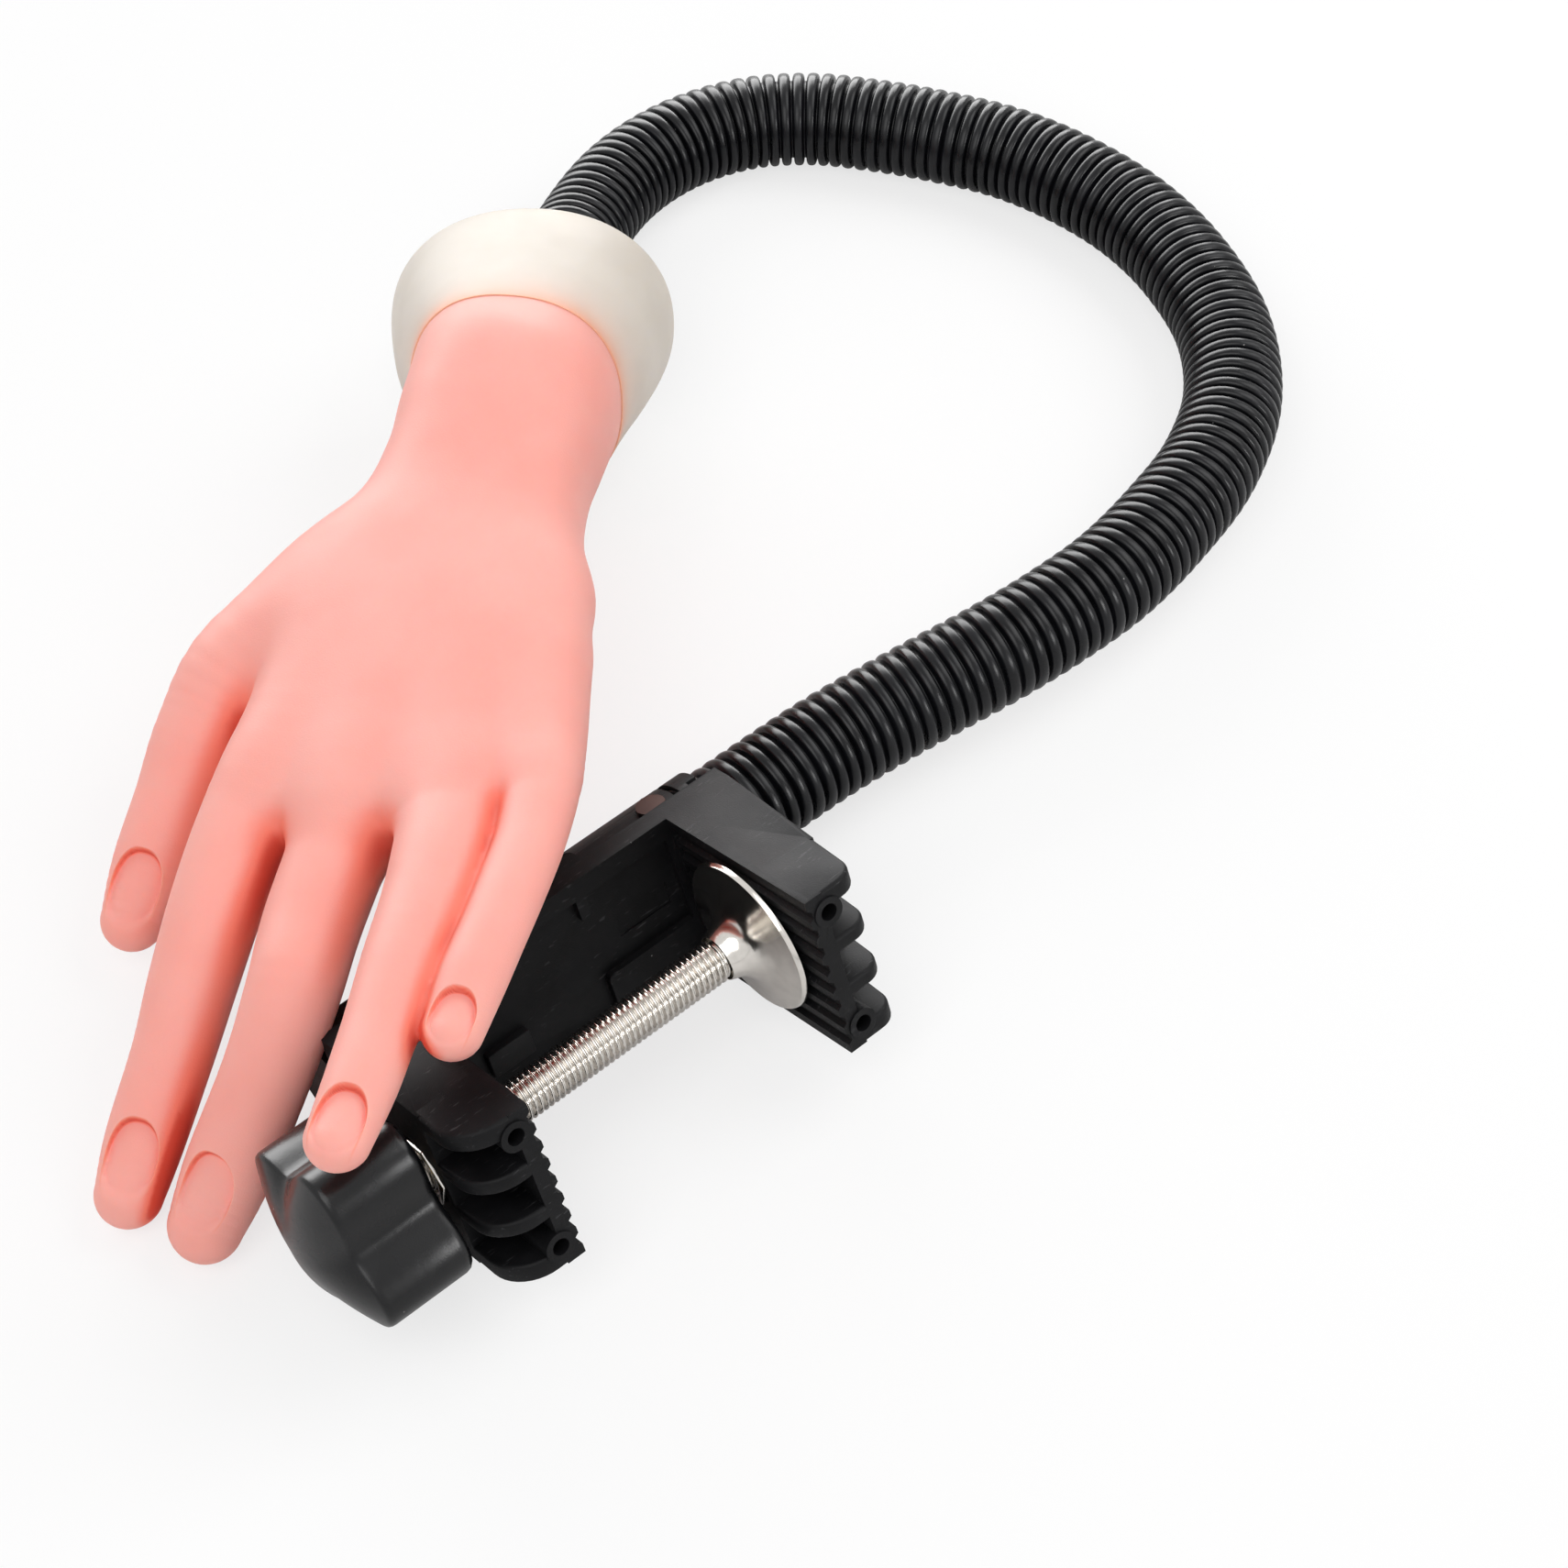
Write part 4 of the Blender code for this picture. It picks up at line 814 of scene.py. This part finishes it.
def hand_distance(points):
    """How far each point is outside the hand, in the hand's own directions."""
    digits = np.full(len(points), 0.05)
    for rows in DIGIT_ROWS.values():
        low, high = rows[:, :3].min(0) - 0.026, rows[:, :3].max(0) + 0.026
        near = np.all((points > low) & (points < high), 1)
        if near.any():
            digits[near] = soft_min(digits[near], digit_distance(points[near], rows), DIGIT_BLEND)
    return soft_min(palm_distance(points), digits, PALM_BLEND)


def hand_grid(step, coarse):
    """The distances on a grid, worked out fully only near the surface."""
    counts = np.ceil((GRID_HIGH - GRID_LOW) / (step * coarse)).astype(int)
    axes = [GRID_LOW[axis] + np.arange(counts[axis] + 1) * step * coarse for axis in range(3)]
    field = hand_distance(np.stack(np.meshgrid(*axes, indexing="ij"), -1).reshape(-1, 3)).reshape(counts + 1)
    for axis in range(3):
        size = field.shape[axis]
        fine = np.arange((size - 1) * coarse + 1) / coarse
        first = np.minimum(fine.astype(int), size - 2)
        share = (fine - first).reshape([-1 if a == axis else 1 for a in range(3)])
        field = np.take(field, first, axis) * (1 - share) + np.take(field, first + 1, axis) * share
    close = np.argwhere(np.abs(field) < step * coarse * 1.3)
    field[tuple(close.T)] = hand_distance(GRID_LOW + close * step)
    return field


def surface(field, low, step):
    """Points and quads of the grid's zero surface, one point for each cell that it crosses."""
    inside = field < 0
    corners = [(i, j, k) for i in (0, 1) for j in (0, 1) for k in (0, 1)]
    n = np.array(field.shape) - 1
    parts = [inside[i:n[0] + i, j:n[1] + j, k:n[2] + k] for i, j, k in corners]
    mixed = np.logical_or.reduce(parts) & ~np.logical_and.reduce(parts)
    cells = np.argwhere(mixed)
    number = np.full(mixed.shape, -1)
    number[mixed] = np.arange(len(cells))
    values = np.stack([field[tuple((cells + corner).T)] for corner in corners], 1)
    total, hits = np.zeros((len(cells), 3)), np.zeros(len(cells))
    for one in range(8):
        for two in range(one + 1, 8):
            a, b = np.array(corners[one]), np.array(corners[two])
            if np.abs(a - b).sum() != 1:
                continue
            crosses = (values[:, one] < 0) != (values[:, two] < 0)
            t = np.where(crosses, values[:, one] / np.where(crosses, values[:, one] - values[:, two], 1), 0)
            total += np.where(crosses[:, None], a + t[:, None] * (b - a), 0)
            hits += crosses
    points = low + (cells + total / hits[:, None]) * step
    quads = []
    for axis in range(3):
        one, two = [a for a in range(3) if a != axis]
        here = np.take(inside, range(n[axis]), axis)
        there = np.take(inside, range(1, n[axis] + 1), axis)
        edges = np.argwhere(here != there)
        within = (edges[:, [one, two]] > 0) & (edges[:, [one, two]] < n[[one, two]])
        edges = edges[within.all(1)]
        leaving = here[tuple(edges.T)]
        ring = []
        for a, b in ((0, 0), (1, 0), (1, 1), (0, 1)):
            cell = edges.copy()
            cell[:, one] -= 1 - a
            cell[:, two] -= 1 - b
            ring.append(number[tuple(cell.T)])
        quad = np.stack(ring, 1)
        flip = leaving if axis != 1 else ~leaving
        quads.append(np.where(flip[:, None], quad, quad[:, ::-1]))
    return points, np.concatenate(quads)


def slope(points, reach=0.0002):
    """The outward direction at each point."""
    ways = np.stack([
        hand_distance(points + reach * np.eye(3)[axis]) - hand_distance(points - reach * np.eye(3)[axis])
        for axis in range(3)
    ], 1)
    return ways / np.linalg.norm(ways, axis=1)[:, None]


def nail_frames():
    """Each nail's middle, its directions across, forwards and up, and its half sizes."""
    frames = {}
    for name, (half_width, half_length, share) in NAILS.items():
        before, last = (np.array(hand_point(row)) for row in DIGITS[name][-2:])
        forward = (last - before) / np.linalg.norm(last - before)
        side = np.cross(forward, (0, 0, 1))
        side /= np.linalg.norm(side)
        up = np.cross(side, forward)
        thickness = HAND_LENGTH * (DIGITS[name][-2][3] + DIGITS[name][-1][3]) / 2 * FLATNESS
        middle = before + share * (last - before) + up * thickness
        frames[name] = middle, side, forward, up, HAND_LENGTH * half_width, HAND_LENGTH * half_length
    return frames


def nail_places(points, nail):
    middle, side, forward, up, half_width, half_length = nail
    away = points - middle
    return away @ side / half_width, away @ forward / half_length, away @ up


def evened(mesh, values, rounds=6):
    """A number at each point, averaged with its neighbours' numbers again and again."""
    pairs = np.empty(len(mesh.edges) * 2, int)
    mesh.edges.foreach_get("vertices", pairs)
    first, second = pairs.reshape(-1, 2).T
    counts = np.bincount(pairs, minlength=len(values)) + 1
    size = len(values)
    for _ in range(rounds):
        near = np.bincount(first, values[second], size) + np.bincount(second, values[first], size)
        values = (values + near) / counts
    return values


def make_hand():
    """The hand as one soft skin, with finer faces and a sunk bed where each nail goes, and painted shade in
    its folds and round each nail bed.
    """
    step = FULL_STEP
    points, quads = surface(hand_grid(step, COARSE_STEPS), GRID_LOW, step)
    mesh = bpy.data.meshes.new("soft_hand")
    mesh.from_pydata(points.tolist(), [], quads.tolist())
    nails = nail_frames()
    shape = bmesh.new()
    shape.from_mesh(mesh)
    at = np.array([v.co for v in shape.verts])
    chosen = np.zeros(len(at), bool)
    for nail in nails.values():
        u, v, w = nail_places(at, nail)
        chosen |= (np.abs(u) < 1.35) & (np.abs(v) < 1.35) & (np.abs(w) < NAIL_REACH)
    edges = [e for e in shape.edges if chosen[e.verts[0].index] and chosen[e.verts[1].index]]
    bmesh.ops.subdivide_edges(shape, edges=edges, cuts=3, use_grid_fill=True)
    shape.to_mesh(mesh)
    shape.free()
    points = np.array([v.co for v in mesh.vertices])
    for _ in range(2):
        ways = slope(points)
        flat_end = points[:, 0] < PALM_START_X + 0.0008
        move = np.clip(hand_distance(points), -step, step)
        points = points - ways * np.where(flat_end, 0, move)[:, None]
    ways = slope(points)
    # Painted shade: a number that grows where the skin is hemmed in by other skin nearby, in the folds, the
    # webs and the gaps between the digits.
    fold_shade = np.zeros(len(points))
    for reach, weight in ((0.003, 0.45), (0.007, 0.45), (0.012, 0.35)):
        fold_shade += weight * np.clip(1 - hand_distance(points + ways * reach) / reach, 0, 1)
    fold_shade = evened(mesh, np.clip(fold_shade, 0, 1) ** 0.85)
    for nail in nails.values():
        u, v, w = nail_places(points, nail)
        reach = np.abs(u) ** NAIL_POWER + np.abs(v * np.where(v > 0, 0.94, 1.0)) ** NAIL_POWER
        reach = reach ** (1 / NAIL_POWER)
        bed = (np.abs(w) < NAIL_REACH) & (reach < 1.6) & (ways @ nail[3] > 0.1)
        edge = np.interp(v, (-1, -0.4, 0.3, 1), (0.05, 0.09, 0.22, 0.60))
        sunk = np.clip((1.0 - reach) / edge, 0, 1)
        sunk = sunk * sunk * (3 - 2 * sunk)
        depth = NAIL_DEPTH * np.interp(v, (-1, -0.5, 0.2, 0.8, 1.1), (1.15, 1.0, 0.72, 0.45, 0.3))
        points = np.where(bed[:, None], points - nail[3] * (sunk * depth)[:, None], points)
        # A painted shadow along the rim of each nail bed, strongest at its near end, added to the painted
        # shade of the folds.
        strength = np.interp(v, (-1, -0.3, 0.5, 0.9), (0.95, 0.70, 0.34, 0.08))
        ledge_shadow = np.exp(-((reach - 0.955) / 0.055) ** 2) * strength
        fold_shade = np.where(bed, np.maximum(fold_shade, ledge_shadow), fold_shade)
    mesh.vertices.foreach_set("co", points.ravel())
    painted = mesh.attributes.new("fold_shade", "FLOAT", "POINT")
    painted.data.foreach_set("value", fold_shade)
    mesh.transform(HAND_AT)
    outward(mesh)
    return dressed("soft_hand", mesh, HAND_SOFT, "arm_end", ["hand"], sharp=80)


# ---------------------------------------------------------------- cuff
CUFF_LENGTH = 0.0418
CUFF_OVERLAP = 0.0268
CUFF_FRONT = (0.0238, 0.0212)
CUFF_RIM = (0.0303, 0.0254)
CUFF_LEAN = 0.0030
CUFF_POWER = 2.15
CUFF_SIDES = 128
CUFF_WALL = 0.0060
# How far along the cuff each ring is from its front, and how far it has flared.
CUFF = ((0.00, 0.00), (0.01, 0.03), (0.05, 0.07), (0.15, 0.17), (0.28, 0.31), (0.40, 0.46), (0.55, 0.66),
        (0.68, 0.82), (0.79, 0.93), (0.87, 0.985), (0.93, 1.00), (0.97, 0.95), (0.99, 0.86), (1.00, 0.70))
# The back end's rings, from the rim to the recess's floor: how far before the end, and inside the rim.
RECESS = ((-0.0001, 0.0040), (0.0001, 0.0056), (0.0008, 0.0068), (0.0025, 0.0076), (0.0034, 0.0082),
          (0.0037, 0.0095))


def make_cuff(line):
    """The flared cuff: a thin front edge on the hand, a rolled rim, and a shallow recess behind."""
    place, following = (np.array(hand_point(PALM[row])) for row in (0, 2))
    forward = (following - place) / np.linalg.norm(following - place)
    side = np.cross((0, 0, 1), forward)
    side /= np.linalg.norm(side)
    up = np.cross(forward, side)
    front = place + forward * CUFF_OVERLAP
    angles = np.arange(CUFF_SIDES) * 2 * math.pi / CUFF_SIDES
    power = CUFF_POWER
    reach = (np.abs(np.cos(angles)) ** power + np.abs(np.sin(angles)) ** power) ** (-1 / power)

    def ring(back, half_width, half_height):
        flat = np.outer(half_width * np.cos(angles) * reach, side)
        tall = np.outer(half_height * np.sin(angles) * reach, up)
        lean = CUFF_LEAN * max(0.0, 1 - 1.6 * back / CUFF_LENGTH)
        return front - np.outer(back + lean * np.sin(angles), forward) + flat + tall

    def fitted(points, lift):
        for _ in range(4):
            points = points - slope(points) * (hand_distance(points) - lift)[:, None]
        return points

    rings, glow = [], []
    for share, flare in curve_through(CUFF, 3):
        free = ring(
            CUFF_LENGTH * share, CUFF_FRONT[0] + (CUFF_RIM[0] - CUFF_FRONT[0]) * flare,
            CUFF_FRONT[1] + (CUFF_RIM[1] - CUFF_FRONT[1]) * flare,
        )
        away = min(1.0, share / 0.50)
        away = away * away * (3 - 2 * away)
        rings.append(free if away == 1 else fitted(free, 0.0003 + 0.004 * share) * (1 - away) + free * away)
        # Painted glow, strongest at the front edge and fading within about four millimetres behind it.
        glow.append(math.exp(-share / 0.09))
    for back, inside in RECESS:
        rings.append(ring(CUFF_LENGTH - back, CUFF_RIM[0] - inside, CUFF_RIM[1] - inside))
        glow.append(0)
    inward = HAND_AT.inverted()
    end = np.array(inward @ Vector(line[-1]))
    way = np.array(inward.to_3x3() @ Vector(line[-1] - line[-2]).normalized())
    for back, radius in ((CUFF_LENGTH - 0.0037, 0.0121), (CUFF_LENGTH - 0.0070, 0.0119), (CUFF_WALL, 0.0119)):
        middle = end + way * ((front - forward * back - end) @ forward) / (way @ forward)
        across = np.cross((0, 0, 1), way)
        across /= np.linalg.norm(across)
        rise = np.cross(way, across)
        rings.append(middle + radius * (np.outer(np.cos(angles), across) + np.outer(np.sin(angles), rise)))
        glow.append(0)
    for back in (CUFF_WALL, 0.0):
        rings.append(fitted(ring(back, *CUFF_FRONT), -0.0015))
        glow.append(0)
    mesh = skin("milky_cuff", rings, wrap=True, at=HAND_AT)
    painted = mesh.attributes.new("glow", "FLOAT", "POINT")
    painted.data.foreach_set("value", np.repeat(glow, CUFF_SIDES))
    return dressed("milky_cuff", mesh, CUFF_MILKY, "arm_end", ["wrist_cuff"], sharp=60)


# ---------------------------------------------------------------- the whole part
make_clamp()
make_screw()
make_nut()
make_pad()
make_knob()
line = arm_line()
make_arm(line)
arm_way = (line[-1] - line[-2]) / np.linalg.norm(line[-1] - line[-2])
make_ferrule(line[-1], arm_way)
make_hand()
make_cuff(line)

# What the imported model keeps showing, and its finishes.
KEPT = {
    "arm_anchor": ZINC, "anchor_screw": DARK_STEEL, "core_retainer": ZINC, "pad_rivet": ZINC,
    "knob_insert": BRASS, "wrist_plug": PLUG_LIGHT,
    **{f"arm_core_{number}": WOUND_STEEL for number in range(1, 6)},
}
for name, look in KEPT.items():
    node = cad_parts[name]
    node.data.materials.clear()
    node.data.materials.append(look.material)


# ---------------------------------------------------------------- floor, light and camera
FLOOR_REACH = 6
FLOOR_GAP = 0.0002
FLOOR_GLOW = 0.72
AMBIENT = 0.38
SENSOR_WIDTH = 36
PHOTO_PIXELS = 1710
FOCAL_PIXELS = 3500


def make_stage():
    shape = bmesh.new()
    bmesh.ops.create_grid(shape, x_segments=1, y_segments=1, size=FLOOR_REACH)
    floor = workpiece(shape)
    floor.name = "floor"
    floor.location.z = CAD_BOX[0][2] - FLOOR_GAP
    look = Look("pale_floor", {
        "Base Color": (0.93, 0.93, 0.93, 1), "Roughness": 0.9, "Specular IOR Level": 0.1,
    })
    rays = look.node("ShaderNodeLightPath", output="Is Camera Ray")
    glow = look.node("ShaderNodeEmission", None, {"Color": (1, 1, 1, 1), "Strength": 1.0})
    seen = look.node("ShaderNodeMixShader", None, {
        0: rays * FLOOR_GLOW, 1: Wire(look, look.shader.outputs[0]), 2: glow,
    })
    look.tree.links.new(seen.socket, look.tree.nodes["Material Output"].inputs["Surface"])
    floor.data.materials.append(look.material)


def make_light(name, place, towards, size, power, diffuse=True):
    lamp = bpy.data.lights.new(name, "AREA")
    lamp.shape = "RECTANGLE"
    lamp.size, lamp.size_y = size
    lamp.energy = power
    made = linked(name, lamp)
    made.location = place
    made.rotation_euler = (Vector(place) - Vector(towards)).to_track_quat("Z", "Y").to_euler()
    made.visible_diffuse = diffuse


def make_world():
    """Soft surroundings that look and reflect as white, and light the part more weakly."""
    world = bpy.data.worlds.new("studio")
    bpy.context.scene.world = world
    world.use_nodes = True
    tree = world.node_tree
    background = tree.nodes["Background"]
    path = tree.nodes.new("ShaderNodeLightPath")
    seen, mirrored = (tree.nodes.new("ShaderNodeMath") for _ in range(2))
    seen.operation = mirrored.operation = "MAXIMUM"
    tree.links.new(path.outputs["Is Glossy Ray"], mirrored.inputs[0])
    tree.links.new(path.outputs["Is Transmission Ray"], mirrored.inputs[1])
    tree.links.new(path.outputs["Is Camera Ray"], seen.inputs[0])
    tree.links.new(mirrored.outputs[0], seen.inputs[1])
    strength = tree.nodes.new("ShaderNodeMapRange")
    strength.inputs["To Min"].default_value = AMBIENT
    strength.inputs["To Max"].default_value = 1.0
    tree.links.new(seen.outputs[0], strength.inputs["Value"])
    background.inputs["Color"].default_value = (1, 1, 1, 1)
    tree.links.new(strength.outputs[0], background.inputs["Strength"])


def make_camera():
    """The photograph's camera: a long lens, looking down on the part from its front left."""
    turn = Matrix.Rotation(math.radians(-38.46), 3, "Z")
    back = Vector((0, -0.618, 0.786)).normalized()
    right = Vector((0.9988, -0.038, -0.0299))
    right = (right - right.dot(back) * back).normalized()
    up = back.cross(right)
    camera = bpy.data.cameras.new("camera")
    camera.sensor_width = SENSOR_WIDTH
    camera.lens = SENSOR_WIDTH * FOCAL_PIXELS / PHOTO_PIXELS
    camera.clip_start, camera.clip_end = 0.01, 20
    made = linked("camera", camera)
    axes = Matrix((turn @ right, turn @ up, turn @ back)).transposed().to_4x4()
    axes.translation = Vector((-0.2086, -0.29237, 0.5059)) + Vector((CLAMP_PLACE.x, CLAMP_PLACE.y, 0))
    made.matrix_world = axes
    bpy.context.scene.camera = made


make_stage()
make_world()
make_light("key", (-0.55, -0.35, 0.95), (0, 0, 0), (0.8, 0.8), 5.2)
make_light("fill", (0.65, -0.25, 0.75), (0, 0, 0), (0.7, 0.7), 4.4)
make_light("back", (0.15, 0.9, 0.55), (0, 0, 0.02), (1.0, 0.6), 3)
make_light("sheen", (0.38, 0.87, 0.32), (-0.05, -0.08, 0.02), (1.4, 0.6), 20, diffuse=False)
make_light("glint", (0.40, -1.05, 0.42), (-0.10, -0.09, 0.02), (0.35, 0.35), 4.5, diffuse=False)
make_camera()
bpy.context.scene.view_settings.view_transform = "Standard"
